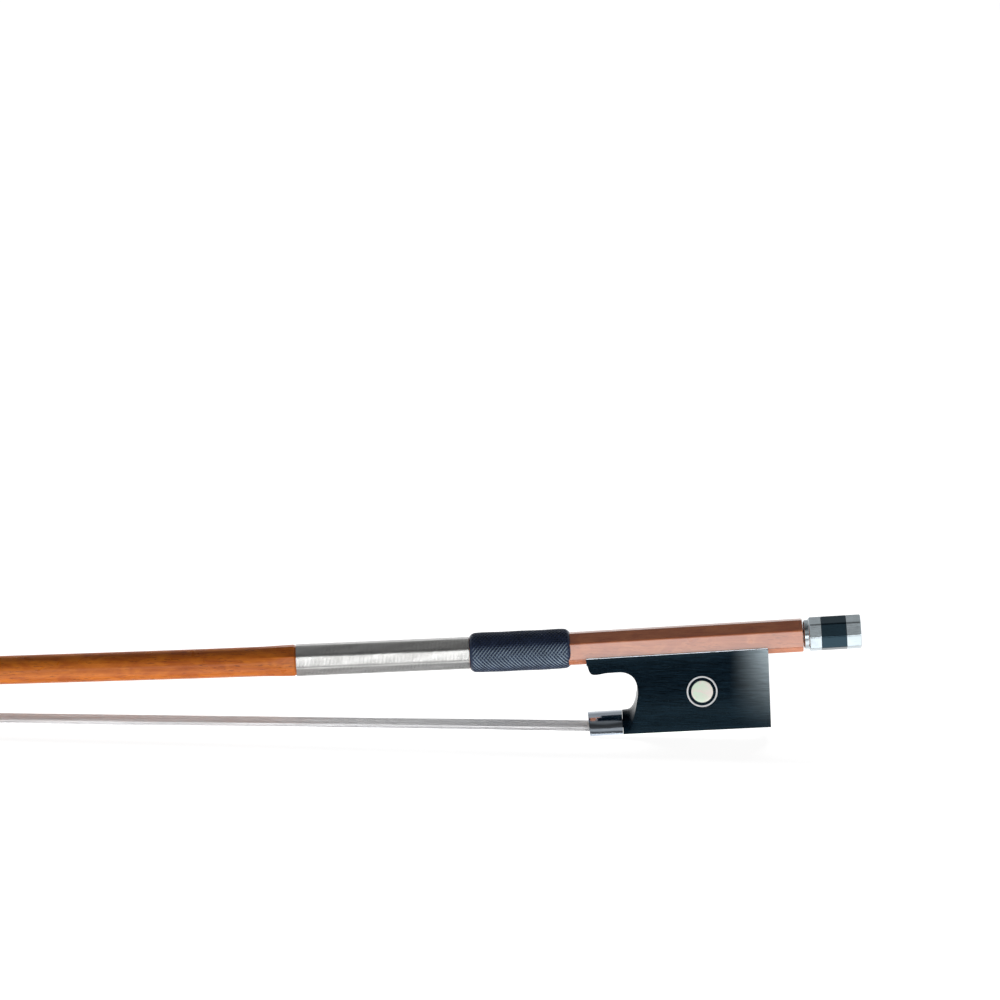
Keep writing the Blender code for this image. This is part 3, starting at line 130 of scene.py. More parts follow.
# Hair, by its distance from the ferrule's mouth
HAIR_IN_FROG = (0.0185, 0.0135, 0.0091, 0.004, 0.0)
HAIR_IN_HEAD = (
    (0.0025, 0.00005), (0.0050, 0.00035), (0.0073, 0.00105), (0.0088, 0.0018), (0.0098, 0.0024),
)
HAIR_WIDTHS = (
    (-0.0185, 0.0078), (-0.0091, 0.0078), (0.0, 0.0102), (0.01, 0.0104),
    (HAIR_LENGTH - 0.004, 0.0086), (HAIR_LENGTH + 0.0025, 0.0080), (HAIR_LENGTH + 0.005, 0.0072),
    (HAIR_LENGTH + 0.0073, 0.0058), (HAIR_LENGTH + 0.0098, 0.0050),
)
HAIR_DEPTHS = (
    (-0.0185, 0.0009), (0.0, 0.0010), (0.02, 0.0010), (0.3, 0.0009), (0.6, 0.0007),
    (HAIR_LENGTH, 0.0005), (HAIR_LENGTH + 0.01, 0.0005),
)
STRAY_ACROSS, STRAY_UP, HAIR_FINE, HAIR_THICK = 0.00032, 0.00018, 0.000075, 0.000105

# Frog and ferrule
FERRULE_LENGTH, FERRULE_WIDTH, FERRULE_HEIGHT, FERRULE_WALL = 0.0091, 0.0130, 0.0052, 0.00045
FROG_FRONT = FERRULE_FRONT - FERRULE_LENGTH
HEEL_BOTTOM = FROG_FRONT - 0.0389
HEEL_TOP = HEEL_BOTTOM - 0.0004
FRONT_DEPTH = STICK_HEIGHT + 0.0016
HEEL_DEPTH = FRONT_DEPTH + 0.0004
FROG_TOP, FROG_TOP_WIDTH, FROG_SOLE_WIDTH = 0.00255, 0.0100, 0.0134
THROAT_TOP = 0.0063
FERRULE_TOP = FRONT_DEPTH - FERRULE_HEIGHT
# Up the throat's curve: the way behind the ferrule, and the share of the height down to it
THROAT = (
    (0.0011, 0.991), (0.00195, 0.978), (0.00295, 0.901), (0.00365, 0.789), (0.00415, 0.655),
    (0.0044, 0.511), (0.0043, 0.359), (0.0040, 0.242), (0.0034, 0.144), (0.0025, 0.072),
    (0.0012, 0.018), (-0.0014, 0.0),
)
# Round the tongue: the way behind its tip, and the share of its thickness
TONGUE = (
    (0.0045, 1.027), (0.0020, 1.08), (0.0013, 1.027), (0.0008, 0.867), (0.00045, 0.573),
    (0.0001, 0.227),
)
# How far the throat's floor has turned into the arch, by the way behind the ferrule
FLOOR_ARCH = (
    (0.0041, 0.0), (0.0037, 0.2), (0.0031, 0.45), (0.0023, 0.75), (0.0013, 0.97), (-0.0013, 1.0),
)
EYE_PLACE, EYE_DEPTH = HEEL_TOP + 0.0180, 0.0126
EYE_RING, EYE_RING_WALL, PEARL = 0.00815 / 2, 0.00045, 0.0057 / 2
EYE_SUNK, EYE_PROUD, EYE_REACH = 0.0006, 0.00003, 0.002
FROG_ROUNDING, SPIGOT_LENGTH, UNDERSLIDE, HAIR_HALF = 0.00022, 0.0083, 0.0003, 0.0006
WEDGE_THICKNESS, CHANNEL_TOP, KNOT_ROOM, KNOT_HALF = 0.00105, 0.00055, 0.0093, 0.0044
KNOT_TOP, KNOT_LENGTH, KNOT_END = 0.0145, 0.009, 0.0097
SLIDE_LENGTH, SLIDE_DEPTH, SLIDE_HALF, SLIDE_DRAFT = 0.0340, 0.00125, 0.0049, 0.0004
MOUTH_SLANT = 0.0003

# Button
BUTTON_HALF, BUTTON_TURN = 0.00425, math.radians(25.3)
BUTT_GAP, COLLAR_LENGTH, COLLAR_HALF = 0.0002, 0.0014, 0.0039
BAND_START = BUTT_GAP + COLLAR_LENGTH + 0.0033
BAND_END = BAND_START + 0.0066
BUTTON_END = BAND_END + 0.0039
RING_BORE, CORE_HALF, CORE_BORE = 0.0032, 0.0031, 0.00156


# Frames of reference

def lean(points, angle, place):
    """Points turned in the bow's plane by an angle that lifts +X, then moved to a place."""
    x, y, z = np.moveaxis(np.asarray(points, dtype=float), -1, 0)
    turned = (x * math.cos(angle) - z * math.sin(angle), y, x * math.sin(angle) + z * math.cos(angle))
    return np.stack(turned, axis=-1) + place


def from_hair(points):
    """From the hair's frame, whose zero is the ferrule's mouth, to the frame of the model."""
    return lean(points, HAIR_LEAN, HAIR_PLACE)


def from_handle(points):
    """From the handle's frame, whose zero is the butt, to the frame of the model."""
    return from_hair(lean(points, HANDLE_TILT, BUTT))


BUTT = np.array((
    FERRULE_FRONT * math.cos(HANDLE_TILT) - STICK_HEIGHT * math.sin(HANDLE_TILT),
    0.0,
    FERRULE_FRONT * math.sin(HANDLE_TILT) + STICK_HEIGHT * math.cos(HANDLE_TILT),
))


# Curves

def cubic(knots, values, at, start_slope=None):
    """A cubic curve through values (many columns) at the knots; slopes solve the usual
    three-term rule that keeps the curvature even, with free ends or one given start slope."""
    x = np.asarray(knots, dtype=float)
    y = np.asarray(values, dtype=float)
    flat = y.reshape(len(x), -1)
    step = np.diff(x)
    rise = np.diff(flat, axis=0) / step[:, None]
    free = start_slope is None
    matrix = np.diag([2.0 if free else 1.0, *(2 * (step[:-1] + step[1:])), 2.0])
    matrix += np.diag([1.0 if free else 0.0, *step[:-1]], 1) + np.diag([*step[1:], 1.0], -1)
    inner = 3 * (step[1:, None] * rise[:-1] + step[:-1, None] * rise[1:])
    first = 3 * rise[:1] if free else np.full((1, flat.shape[1]), start_slope)
    slope = np.linalg.solve(matrix, np.concatenate([first, inner, 3 * rise[-1:]]))
    at = np.asarray(at, dtype=float)
    i = np.clip(np.searchsorted(x, at) - 1, 0, len(step) - 1)
    t = ((at - x[i]) / step[i])[:, None]
    one = flat[i] * (2 * t**3 - 3 * t**2 + 1) + flat[i + 1] * (3 * t**2 - 2 * t**3)
    two = slope[i] * (t**3 - 2 * t**2 + t) + slope[i + 1] * (t**3 - t**2)
    return (one + step[i][:, None] * two).reshape((len(at),) + y.shape[1:])


def through(points, count):
    """A smooth line of count points through the given ones, spaced by the chord between them."""
    points = np.asarray(points, dtype=float)
    run = np.concatenate([[0.0], np.cumsum(np.linalg.norm(np.diff(points, axis=0), axis=1))])
    return cubic(run, points, np.linspace(0.0, run[-1], count))


def ease(value, start, end):
    """0 before start, 1 past end, and 3t^2 - 2t^3 between them."""
    t = np.clip((value - start) / (end - start), 0.0, 1.0)
    return t * t * (3 - 2 * t)


def table(rows, at):
    """Straight from each row of (place, value) to the next."""
    return np.interp(at, *np.array(rows).T)


# Meshes

def grid_faces(rows, columns, wrap_rows=False):
    """Quads of a grid stored row by row: its columns close on themselves, its rows if asked."""
    i = np.arange(rows if wrap_rows else rows - 1)
    i, j = np.meshgrid(i, np.arange(columns), indexing="ij")
    i, j = i.ravel(), j.ravel()
    k, m = (i + 1) % rows, (j + 1) % columns
    return np.stack([i * columns + j, i * columns + m, k * columns + m, k * columns + j], axis=1)


def add_object(name, data):
    """A new object in the scene with this mesh, lamp or camera."""
    obj = bpy.data.objects.new(name, data)
    bpy.context.scene.collection.objects.link(obj)
    return obj


def mesh_object(name, points, faces, more_faces=(), sharp=35):
    """A new object at the origin with these points; its faces are turned outwards."""
    mesh = bpy.data.meshes.new(name)
    everything = [tuple(f) for f in np.asarray(faces).tolist()] + [tuple(f) for f in more_faces]
    mesh.from_pydata(np.asarray(points, dtype=float).reshape(-1, 3).tolist(), [], everything)
    work = bmesh.new()
    work.from_mesh(mesh)
    bmesh.ops.recalc_face_normals(work, faces=work.faces)
    work.to_mesh(mesh)
    work.free()
    mesh.shade_smooth()
    mesh.set_sharp_from_angle(angle=math.radians(sharp))
    return add_object(name, mesh)


def skin(name, rings, loop=False, sharp=35):
    """A closed skin over rings (rings, points, 3), with flat caps or joined end to end."""
    rings = np.asarray(rings)
    rows, columns = rings.shape[:2]
    ends = [] if loop else [range(columns), range((rows - 1) * columns, rows * columns)]
    return mesh_object(name, rings, grid_faces(rows, columns, wrap_rows=loop), ends, sharp)


BOX_FACES = ((0, 1, 3, 2), (4, 6, 7, 5), (0, 4, 5, 1), (2, 3, 7, 6), (0, 2, 6, 4), (1, 5, 7, 3))


def box_tool(low, high, place):
    """A box between two corners, put in place by one of the frames of reference."""
    corners = np.stack(np.meshgrid(*zip(low, high), indexing="ij"), axis=-1).reshape(-1, 3)
    return mesh_object("tool", place(corners), BOX_FACES)


def rod_tool(radius, start, end, place, count=32):
    """A round rod along X between two places."""
    angle = np.arange(count) * 2 * math.pi / count
    ring = np.stack([np.zeros(count), radius * np.cos(angle), radius * np.sin(angle)], axis=1)
    return skin("tool", place(np.stack([ring + (x, 0, 0) for x in (start, end)])))


def settle(obj):
    """Puts the result of the modifiers into the object's own mesh."""
    bpy.context.view_layer.update()
    work = obj.evaluated_get(bpy.context.evaluated_depsgraph_get())
    mesh = bpy.data.meshes.new_from_object(work)
    obj.modifiers.clear()
    obj.data = mesh


def carve(obj, tools, operation="DIFFERENCE"):
    """Cuts (or joins) each tool, applies the result and deletes the tools."""
    for tool in tools:
        modifier = obj.modifiers.new("cut", "BOOLEAN")
        modifier.operation = operation
        modifier.solver = "EXACT"
        modifier.object = tool
    settle(obj)
    for tool in tools:
        bpy.data.objects.remove(tool, do_unlink=True)


def soften(obj, width, angle=35):
    """Rounds the edges that turn by more than the angle, in two steps."""
    modifier = obj.modifiers.new("edges", "BEVEL")
    modifier.width = width
    modifier.segments = 2
    modifier.limit_method = "ANGLE"
    modifier.angle_limit = math.radians(angle)
    settle(obj)


def shade(obj, sharp):
    """Smooth shading, but for the edges that turn by more than this."""
    obj.data.shade_smooth()
    obj.data.set_sharp_from_angle(angle=math.radians(sharp))


def dress(obj, material, body, replaced):
    """Gives a piece its material, its body and the CAD node that it stands for."""
    obj.data.materials.clear()
    obj.data.materials.append(material)
    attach(obj, body)
    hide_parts(replaced)


# The stick's shape

CURVE_START = BUTT - HANDLE_STRAIGHT * np.array((math.cos(HANDLE_TILT), 0.0, math.sin(HANDLE_TILT)))


def axis_height(x):
    """Height of the stick's axis: a straight line at the handle, then a cubic through CAMBER."""
    x = np.asarray(x, dtype=float)
    knots = np.array([(-CURVE_START[0] / HAIR_LENGTH, CURVE_START[2])] + list(CAMBER))
    slope = -math.tan(HANDLE_TILT) * HAIR_LENGTH
    curved = cubic(knots[:, 0], knots[:, 1], (-x / HAIR_LENGTH).ravel(), slope).reshape(x.shape)
    straight = CURVE_START[2] + (x - CURVE_START[0]) * math.tan(HANDLE_TILT)
    return np.where(x > CURVE_START[0], straight, curved)


def axis_frames(x):
    """Axis points at x, and the unit directions square to the axis in the bow's plane."""
    reach = 0.0005
    slope = (axis_height(x + reach) - axis_height(x - reach)) / (2 * reach)
    size = np.sqrt(1 + slope**2)
    zero = np.zeros_like(x)
    return np.stack([x, zero, axis_height(x)], 1), np.stack([-slope / size, zero, 1 / size], 1)


def x_of(distance):
    """X of the axis at a distance along it from the butt."""
    return BUTT[0] - np.asarray(distance, dtype=float) * math.cos(HANDLE_TILT)


def distance_of(x):
    """Distance along the axis from the butt at an X."""
    return (BUTT[0] - x) / math.cos(HANDLE_TILT)


def stick_radius(x):
    """Half the width across the flats, straight from each of TAPER's values to the next."""
    return BUTT_FLATS / 2 * table(TAPER, -np.asarray(x) / HAIR_LENGTH)


HANDLE_CORNERS = np.array((
    (TOP_FLAT / 2, BUTT_FLATS / 2), (BUTT_FLATS / 2, SIDE_TOP),
    (BUTT_FLATS / 2, -SIDE_BOTTOM), (BOTTOM_FLAT / 2, -BUTT_FLATS / 2),
)) / (BUTT_FLATS / 2)
EVEN_ANGLES = np.radians((22.5, 67.5, 112.5, 157.5))
EVEN_CORNERS = np.stack([np.sin(EVEN_ANGLES), np.cos(EVEN_ANGLES)], 1) / math.cos(math.pi / 8)
SPREAD = np.array((0.0, 0.03, 0.07, 0.13, 0.25, 0.5, 0.75, 0.87, 0.93, 0.97))
HALF_STEPS = np.concatenate([k + SPREAD for k in range(5)] + [[5.0]])


def whole(half, mirror):
    """Full rings from half ones (rings, points, axes) that run from the top to the bottom."""
    return np.concatenate([half, half[:, -2:0:-1] * mirror], axis=1)


def unit_sections(x, crispness=110.0):
    """Half sections of the stick for a radius of one.

    The eight corners fade from the handle's to an even octagon's. A point at angle a has the
    radius (sum over the flats of (n.u / d)^p)^(-1/p), which is the octagon with its corners
    eased, and past the winding it fades to a circle.
    """
    x = np.asarray(x, dtype=float)
    distance = distance_of(x)
    even = ease(distance, GRIP_START, GRIP_END)[:, None, None]
    corners = (1 - even) * HANDLE_CORNERS + even * EVEN_CORNERS
    angles = np.arctan2(corners[:, :, 0], corners[:, :, 1])
    marks = np.concatenate([np.zeros((len(x), 1)), angles, np.full((len(x), 1), math.pi)], 1)
    low = np.minimum(HALF_STEPS.astype(int), 4)
    part = HALF_STEPS - low
    angle = marks[:, low] * (1 - part) + marks[:, low + 1] * part
    towards = np.stack([np.sin(angle), np.cos(angle)], -1)
    top, bottom = corners[:, :1] * (-1, 1), corners[:, -1:] * (-1, 1)
    ends = np.concatenate([top, corners, bottom], 1)
    edge = np.diff(ends, axis=1)
    normal = np.stack([-edge[:, :, 1], edge[:, :, 0]], -1)
    normal /= np.linalg.norm(normal, axis=-1, keepdims=True)
    reach = np.sum(normal * ends[:, :-1], -1)
    normal *= np.sign(reach)[:, :, None]
    reach = np.abs(reach)
    facing = np.maximum(np.einsum("rpk,rfk->rpf", towards, normal) / reach[:, None, :], 1e-6)
    radius = np.sum(facing**crispness, -1) ** (-1 / crispness)
    rounded = ease(distance, WINDING_END + 0.0005, WINDING_END + 0.012)[:, None]
    radius = (1 - rounded) * radius + rounded
    return towards * radius[:, :, None]


def stick_rings(x, size=None):
    """The stick's rings at x: its axis point, plus y across and z square to the axis."""
    x = np.asarray(x, dtype=float)
    radius = stick_radius(x) if size is None else size
    outline = whole(unit_sections(x), (-1, 1)) * radius[:, None, None]
    centre, up = axis_frames(x)
    rings = centre[:, None, :] + up[:, None, :] * outline[:, :, 1:]
    rings[:, :, 1] += outline[:, :, 0]
    return rings


def winding_bore():
    """Half the winding's bore across the flats: the stick's at its middle, less what it sinks."""
    return float(stick_radius(x_of((WINDING_START + WINDING_END) / 2))) - WINDING_SINK


def head_half_profile(steps):
    """(share towards the ridge, share of the half width) for the ring's steps, 0 at the ridge
    and 5 at the throat: a cubic down the cheek, with the ridge and the throat's edge kept."""
    knots = np.array((0, 1, 1.5, 2, 2.5, 3, 3.5, 4, 5))
    cheek = cubic(knots[1:7], HEAD_PROFILE[1:7], np.clip(steps, 1, 3.5))
    rest = np.stack([np.interp(steps, knots, column) for column in HEAD_PROFILE.T], 1)
    inside = ((steps >= 1) & (steps <= 3.5))[:, None]
    return np.where(inside, cheek, rest)


def head_rings(sections):
    """The head's rings: each point lies a share of the way from the throat point to the ridge
    point, lowered by 4 bow s(1-s) + dip s^3(1-s), and stands out by a share of the width."""
    share, wide = head_half_profile(HALF_STEPS).T
    front_e, front_z, throat_e, throat_z, half_width, ridge, bow, dip = sections.T[:, :, None]
    e = throat_e + share * (front_e - throat_e)
    z = throat_z + share * (front_z - throat_z)
    z = z - 4 * bow * share * (1 - share) - dip * share**3 * (1 - share)
    y = np.where(wide < 1e-6, 0.0, ridge + (half_width - ridge) * wide)
    return whole(np.stack([-HAIR_LENGTH - e, y, z], -1), (1, -1, 1))


HEAD_JOIN = -CAMBER[-1][0] * HAIR_LENGTH


def stick_stations():
    """X of the rings from the butt to where the head begins, close together at the butt."""
    edge = np.array(BUTT_EDGE)[:, 0]
    handle = np.concatenate([
        edge, np.linspace(0.004, GRIP_START - 0.001, 14),
        np.linspace(GRIP_START, GRIP_END, 14), [WINDING_START - 0.0003],
    ])
    seat = np.linspace(WINDING_START, WINDING_END, 12)
    beyond = np.linspace(WINDING_END + 0.0003, WINDING_END + 0.032, 20)
    free = np.linspace(float(x_of(WINDING_END + 0.034)), HEAD_JOIN, 130)
    return np.concatenate([x_of(handle), x_of(seat), x_of(beyond), free])


def head_skin():
    """Rings of the head: a cubic through its sections, led in by three rings of the stick."""
    lead = stick_rings(HEAD_JOIN + np.array((0.022, 0.011, 0.0)))
    keys = np.concatenate([lead, head_rings(HEAD_SECTIONS)])
    gaps = np.linalg.norm(np.diff(keys, axis=0), axis=-1).mean(1)
    run = np.concatenate([[0.0], np.cumsum(gaps)])
    at = np.concatenate([np.linspace(a, b, 7)[1:] for a, b in zip(run[2:], run[3:])])
    return cubic(run, keys, at)


def split_cap(first, columns):
    """Faces over a ring whose halves mirror each other: quads across it, a triangle at each end."""
    half = columns // 2
    i = np.arange(1, half - 1)
    strips = np.stack([first + i, first + i + 1, first + columns - i - 1, first + columns - i], 1)
    ends = [(first, first + 1, first + columns - 1), (first + half - 1, first + half, first + half + 1)]
    return ends + strips.tolist()


def build_stick(material):
    """One skin from the butt to the beak, narrower in the winding's seat; then the screw's bore,
    the eyelet's slot and the head's mortise are cut."""
    x = stick_stations()
    size = stick_radius(x)
    size[:len(BUTT_EDGE)] -= np.array(BUTT_EDGE)[:, 1]
    inside = (distance_of(x) > WINDING_START - 1e-6) & (distance_of(x) < WINDING_END + 1e-6)
    size = np.where(inside, winding_bore() - RUN_GAP, size)
    rings = np.concatenate([stick_rings(x, size), head_skin()])
    rows, columns = rings.shape[:2]
    ends = [range(columns)] + split_cap((rows - 1) * columns, columns)
    obj = mesh_object("stick_wood", from_hair(rings), grid_faces(rows, columns), ends)
    bore = rod_tool(SCREW_BORE, SPARE, SCREW_BORE_END, from_handle)
    journal = rod_tool(JOURNAL_BORE, JOURNAL_START, JOURNAL_END, from_handle)
    slot = box_tool(*NUT_SLOT, from_handle)
    carve(obj, [bore, journal, slot, mortise_tool()])
    shade(obj, 32)
    dress(obj, material, "stick", "stick")


def mortise_tool():
    """The mortise in the head's base, which goes through its liner and its plate too."""
    back = -HAIR_LENGTH - HEAD_MORTISE_START
    low = (back - HEAD_MORTISE_LENGTH, -HEAD_MORTISE_WIDTH / 2, -SPARE)
    return box_tool(low, (back, HEAD_MORTISE_WIDTH / 2, HEAD_MORTISE_TOP), from_hair)


def facing_line(count=40, rise_count=6):
    """Points, outward directions and half widths along the head's base and up its beak."""
    base, beak = HEAD_SECTIONS[-1], HEAD_SECTIONS[-2]
    share = np.linspace(0.0, 1.0, count)
    front_e, front_z, throat_e, throat_z, half_width, ridge, bow = base[:7]
    e = throat_e + share * (front_e - throat_e)
    z = throat_z + share * (front_z - throat_z) - 4 * bow * share * (1 - share)
    places, widths = HEAD_PROFILE[::-1].T
    wide = cubic(places[2:], widths[2:], share)
    wide = np.where(share < places[2], np.interp(share, places[1:3], widths[1:3]), wide)
    wide = ridge + (half_width - ridge) * np.clip(wide, 0, 1)
    points = np.stack([-HAIR_LENGTH - e, z], 1)
    tip = np.array((-HAIR_LENGTH - beak[0], beak[1]))
    part = np.linspace(0, 1, rise_count + 1)[1:]
    points = np.concatenate([points, points[-1] + part[:, None] * (tip - points[-1])])
    wide = np.concatenate([wide, wide[-1] + part * (beak[5] - wide[-1])])
    step = np.gradient(points, axis=0)
    side = np.stack([step[:, 1], -step[:, 0]], 1)
    side /= np.linalg.norm(side, axis=1, keepdims=True)
    return points, -side if side[0, 1] > 0 else side, wide


def build_facing(name, near, thickness, tip, material):
    """A thin plate out from the head's base: at each point of its line an oblong across Y with
    its outer edges bevelled, carried down the base and up the beak."""
    points, side, wide = facing_line()
    run = points[-1] - points[-2]
    points[-1] = points[-1] + run / np.linalg.norm(run) * tip
    half = ((0.0, 0.0), (0.2, 0.0), (0.8, 0.0), (1.0, FACING_BEVEL))
    around = [(out, inset, 1) for out, inset in half] + [(out, inset, -1) for out, inset in half[::-1]]
    rings = []
    for out, inset, hand in around:
        shape = points + side * (near + thickness * out)
        rings.append(np.stack([shape[:, 0], hand * (wide - inset), shape[:, 1]], 1))
    obj = skin(name, from_hair(np.stack(rings, 1)))
    carve(obj, [mortise_tool()])
    shade(obj, 32)
    dress(obj, material, "stick", name)


# Winding and grip

def eight_sided(angle, crispness):
    """Radius of an even octagon of unit apothem with eased corners, flat side at angle 0."""
    flats = np.arange(8) * math.pi / 4
    facing = np.maximum(np.cos(np.asarray(angle)[..., None] - flats), 1e-6)
    return np.sum(facing**crispness, -1) ** (-1 / crispness)


def sleeve(name, along, outer, bore, angle):
    """A sleeve on the stick: its wall stands out by outer (places, angles) round the axis, and
    its bore follows with the radius bore (places, angles)."""
    centre, up = axis_frames(x_of(along))

    def rings(radius):
        points = centre[:, None] + up[:, None] * (radius * np.cos(angle))[:, :, None]
        points[:, :, 1] += radius * np.sin(angle)
        return points

    inside = rings(bore)[::-1]
    keep = np.unique(np.concatenate([np.arange(0, len(along), 24), [len(along) - 1]]))
    return skin(name, from_hair(np.concatenate([rings(outer), inside[keep]])), loop=True, sharp=50)


def build_winding(material, stations=1020):
    """Fine wire laid turn on turn: radius = core + relief sqrt(1 - (2f - 1)^2), where f is the
    fraction of distance / pitch - angle / one turn, on the eased eight-sided stick."""
    along = np.linspace(WINDING_START, WINDING_START + WIRE_RUN, stations)
    angle = ((np.arange(8) + 0.5)[:, None] + WIRE_COLUMNS / 2).ravel() * math.pi / 4
    turn = (along[:, None] - WINDING_START) / WINDING_PITCH - angle / (2 * math.pi)
    wave = np.sqrt(np.clip(1 - (2 * (turn % 1.0) - 1) ** 2, 0, 1))
    bore = winding_bore()
    wobble = WIRE_WOBBLE * np.sin(along * WOBBLE_RATE)[:, None]
    crest = bore + WINDING_WALL
    radius = (crest - WIRE_RELIEF * (1 - wave) + wobble - WIRE_WOBBLE) * eight_sided(angle, 40.0)
    inner = np.broadcast_to(bore * eight_sided(angle, 60.0), radius.shape)
    obj = sleeve("winding_wire", along, radius, inner, angle)
    dress(obj, material, "stick", "winding")


def ribs_at(run, angle):
    """How high the ribs stand, and how pale their crests are painted, both from 0 to 1. For each
    slant the bell is e^-(off / width)^2, with off the share of a pitch to the nearest rib's line,
    and the larger of the two counts. The paleness is partly wear and partly painted glints: one
    slant is painted lit in the upper part and the other in the lower, little at the top and
    bottom, and more at the leather's end nearer the butt."""
    across = angle / (2 * math.pi) * RIB_COUNT
    down = run[:, None] / RIB_PITCH
    height = np.cos(angle)
    bell, wear_and_painted_sheen = 0.0, 0.0
    for slant in (1.0, -1.0):
        off = np.abs((down + slant * across + 0.5) % 1.0 - 0.5)
        bell = np.maximum(bell, np.exp(-((off / RIB_WIDTH) ** 2)))
        # painted glints: one slant of ribs is painted lit above a line a little below the middle, the
        # other below it
        painted_glint_side = 0.5 + 0.5 * np.tanh(slant * 3.2 * (height + 0.12))
        wear_and_painted_sheen = np.maximum(wear_and_painted_sheen, np.exp(-((off / RIB_CREST) ** 2)) * painted_glint_side)
    # painted shade: little paleness at the top and bottom; painted highlight: more at the end nearer the
    # butt
    wear_and_painted_sheen = wear_and_painted_sheen * (1 - 0.93 * ease(height, 0.10, 0.55)) * (1 - 0.75 * ease(-height, 0.50, 0.85))
    return bell, wear_and_painted_sheen * (0.72 + 0.28 * np.exp(-run / 0.004)[:, None])


def build_grip(material, columns=320):
    """Embossed leather: the stick's radius and a wall with soft ends, on a section a fifth of
    the way from a circle to the octagon, with slanted ribs and a lapped seam at the back."""
    edge = np.array((0.0, 0.0001, 0.0002, 0.00035))
    run = np.concatenate([edge, np.linspace(0.0005, GRIP_LENGTH - 0.0005, 236), GRIP_LENGTH - edge[::-1]])
    along = GRIP_START + run
    angle = (np.arange(columns) + 0.5) * 2 * math.pi / columns
    wall = table(GRIP_PROFILE, run)[:, None]
    base = stick_radius(x_of(along))[:, None] + RUN_GAP
    facets = 0.22 * eight_sided(angle, 30.0) + 0.78
    bell, wear_and_painted_sheen = ribs_at(run, angle)
    ends = ease(run, 0.0003, 0.0012) * (1 - ease(run, GRIP_LENGTH - 0.0012, GRIP_LENGTH - 0.0003))
    ends = ends[:, None]
    lap = LAP_HEIGHT * ease(angle, 1.70, 1.74) * (1 - ease(angle, 1.74, 2.6))
    lumps = LUMP_HEIGHT * np.sin(run * LUMP_RATE)[:, None] * np.sin(3 * angle + 1.0)
    radius = (base + GRIP_WALL * wall) * facets
    radius = radius - RIB_HEIGHT + (RIB_HEIGHT * bell + lumps) * ends + lap * wall
    obj = sleeve("thumb_leather", along, radius, np.broadcast_to(base + 0.00002, radius.shape), angle)
    # the ribs' paleness, kept for the material: partly wear, partly painted glints
    tone = np.zeros(len(obj.data.vertices), np.float32)
    tone[:wear_and_painted_sheen.size] = (wear_and_painted_sheen * ends).ravel()
    obj.data.attributes.new("rib_wear_and_glint", "FLOAT", "POINT").data.foreach_set("value", tone)
    dress(obj, material, "stick", "leather_grip")


# Hair

def hair_course():
    """The ribbon's stations along X, and its middle's height, its width and its depth there."""
    past, rise = np.array(HAIR_IN_HEAD).T
    free = np.linspace(0.006, HAIR_LENGTH - 0.004, 34)
    stations = np.concatenate([HAIR_IN_FROG, -free, -HAIR_LENGTH - past])
    rear = HAIR_IN_FROG[0]
    z = np.interp(-stations, (-rear, 0.0), (rear * math.tan(HANDLE_TILT) + 0.00035, 0.0))
    z[-len(rise):] = rise
    return stations, z, table(HAIR_WIDTHS, -stations), table(HAIR_DEPTHS, -stations)


def build_hair(material, count=190):
    """Hairs as fine tubes of four sides from the frog to the head: each keeps its place across
    the ribbon and in its depth, and wanders from it by two slow sines of its own."""
    stations, z, width, depth = hair_course()
    place = (np.arange(count) + 0.5) / count - 0.5
    place = place[rng.permutation(count)]
    level = rng.uniform(-0.5, 0.5, count)
    phase = rng.uniform(0, 2 * math.pi, (count, 4))
    waves = rng.uniform(0.6, 2.2, (count, 2))
    free = ease(-stations, 0.0, 0.05) * (1 - ease(-stations, HAIR_LENGTH - 0.06, HAIR_LENGTH - 0.01))
    run = -stations / HAIR_LENGTH * 2 * math.pi
    y = place[:, None] * width + free * STRAY_ACROSS * np.sin(waves[:, :1] * run + phase[:, :1])
    y = np.clip(y, -width / 2, width / 2)
    lift = level[:, None] * depth + free * STRAY_UP * np.sin(waves[:, 1:] * run + phase[:, 1:2])
    lift = np.clip(lift, -depth / 2, depth / 2)
    radius = rng.uniform(HAIR_FINE, HAIR_THICK, count)[:, None, None]
    corner = np.arange(4) * math.pi / 2
    rings = np.zeros((count, len(stations), 4, 3))
    rings[..., 0] = stations[None, :, None]
    rings[..., 1] = y[..., None] + radius * np.cos(corner)
    rings[..., 2] = (z + lift)[..., None] + radius * np.sin(corner)
    size = len(stations) * 4
    shift = np.arange(count)[:, None] * size
    faces = (grid_faces(len(stations), 4)[None] + shift[:, :, None]).reshape(-1, 4)
    ends = np.concatenate([np.arange(4) + shift, np.arange(size - 4, size) + shift])
    obj = mesh_object("bow_hair", from_hair(rings), faces, ends.tolist(), sharp=180)
    mark = obj.data.attributes.new("hair_tone", "FLOAT", "POINT")
    mark.data.foreach_set("value", np.repeat(rng.uniform(0, 1, count), size).astype(np.float32))
    obj.data.materials.append(material)
    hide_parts("hair_ribbon")
    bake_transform(obj)


# Frog

def throat_points():
    """Distance from the butt and depth, from the ferrule's seat up the throat to the tip."""
    height, thick = FERRULE_TOP - THROAT_TOP, THROAT_TOP - FROG_TOP
    line = [(FROG_FRONT - behind, THROAT_TOP + share * height) for behind, share in THROAT]
    line += [(TONGUE_TIP - behind, FROG_TOP + share * thick) for behind, share in TONGUE]
    return through(line, 110)


def frog_half_width(down):
    """Half the width at a depth: w0 + (w1 - w0) sin(pi s / 2)^1.3, hollow towards the stick."""
    share = np.clip((np.asarray(down) - FROG_TOP) / (HEEL_DEPTH - FROG_TOP), 0, 1)
    growth = (FROG_SOLE_WIDTH - FROG_TOP_WIDTH) / 2
    return FROG_TOP_WIDTH / 2 + growth * np.sin(share * math.pi / 2) ** 1.3


def bar_tool(outline, start, end, count=2):
    """An outline of (y, z) carried along the handle between two distances from the butt."""
    outline = np.asarray(outline)
    places = np.linspace(start, end, count)
    rings = [np.column_stack([np.full(len(outline), -s), outline]) for s in places]
    return skin("tool", from_handle(np.stack(rings)))


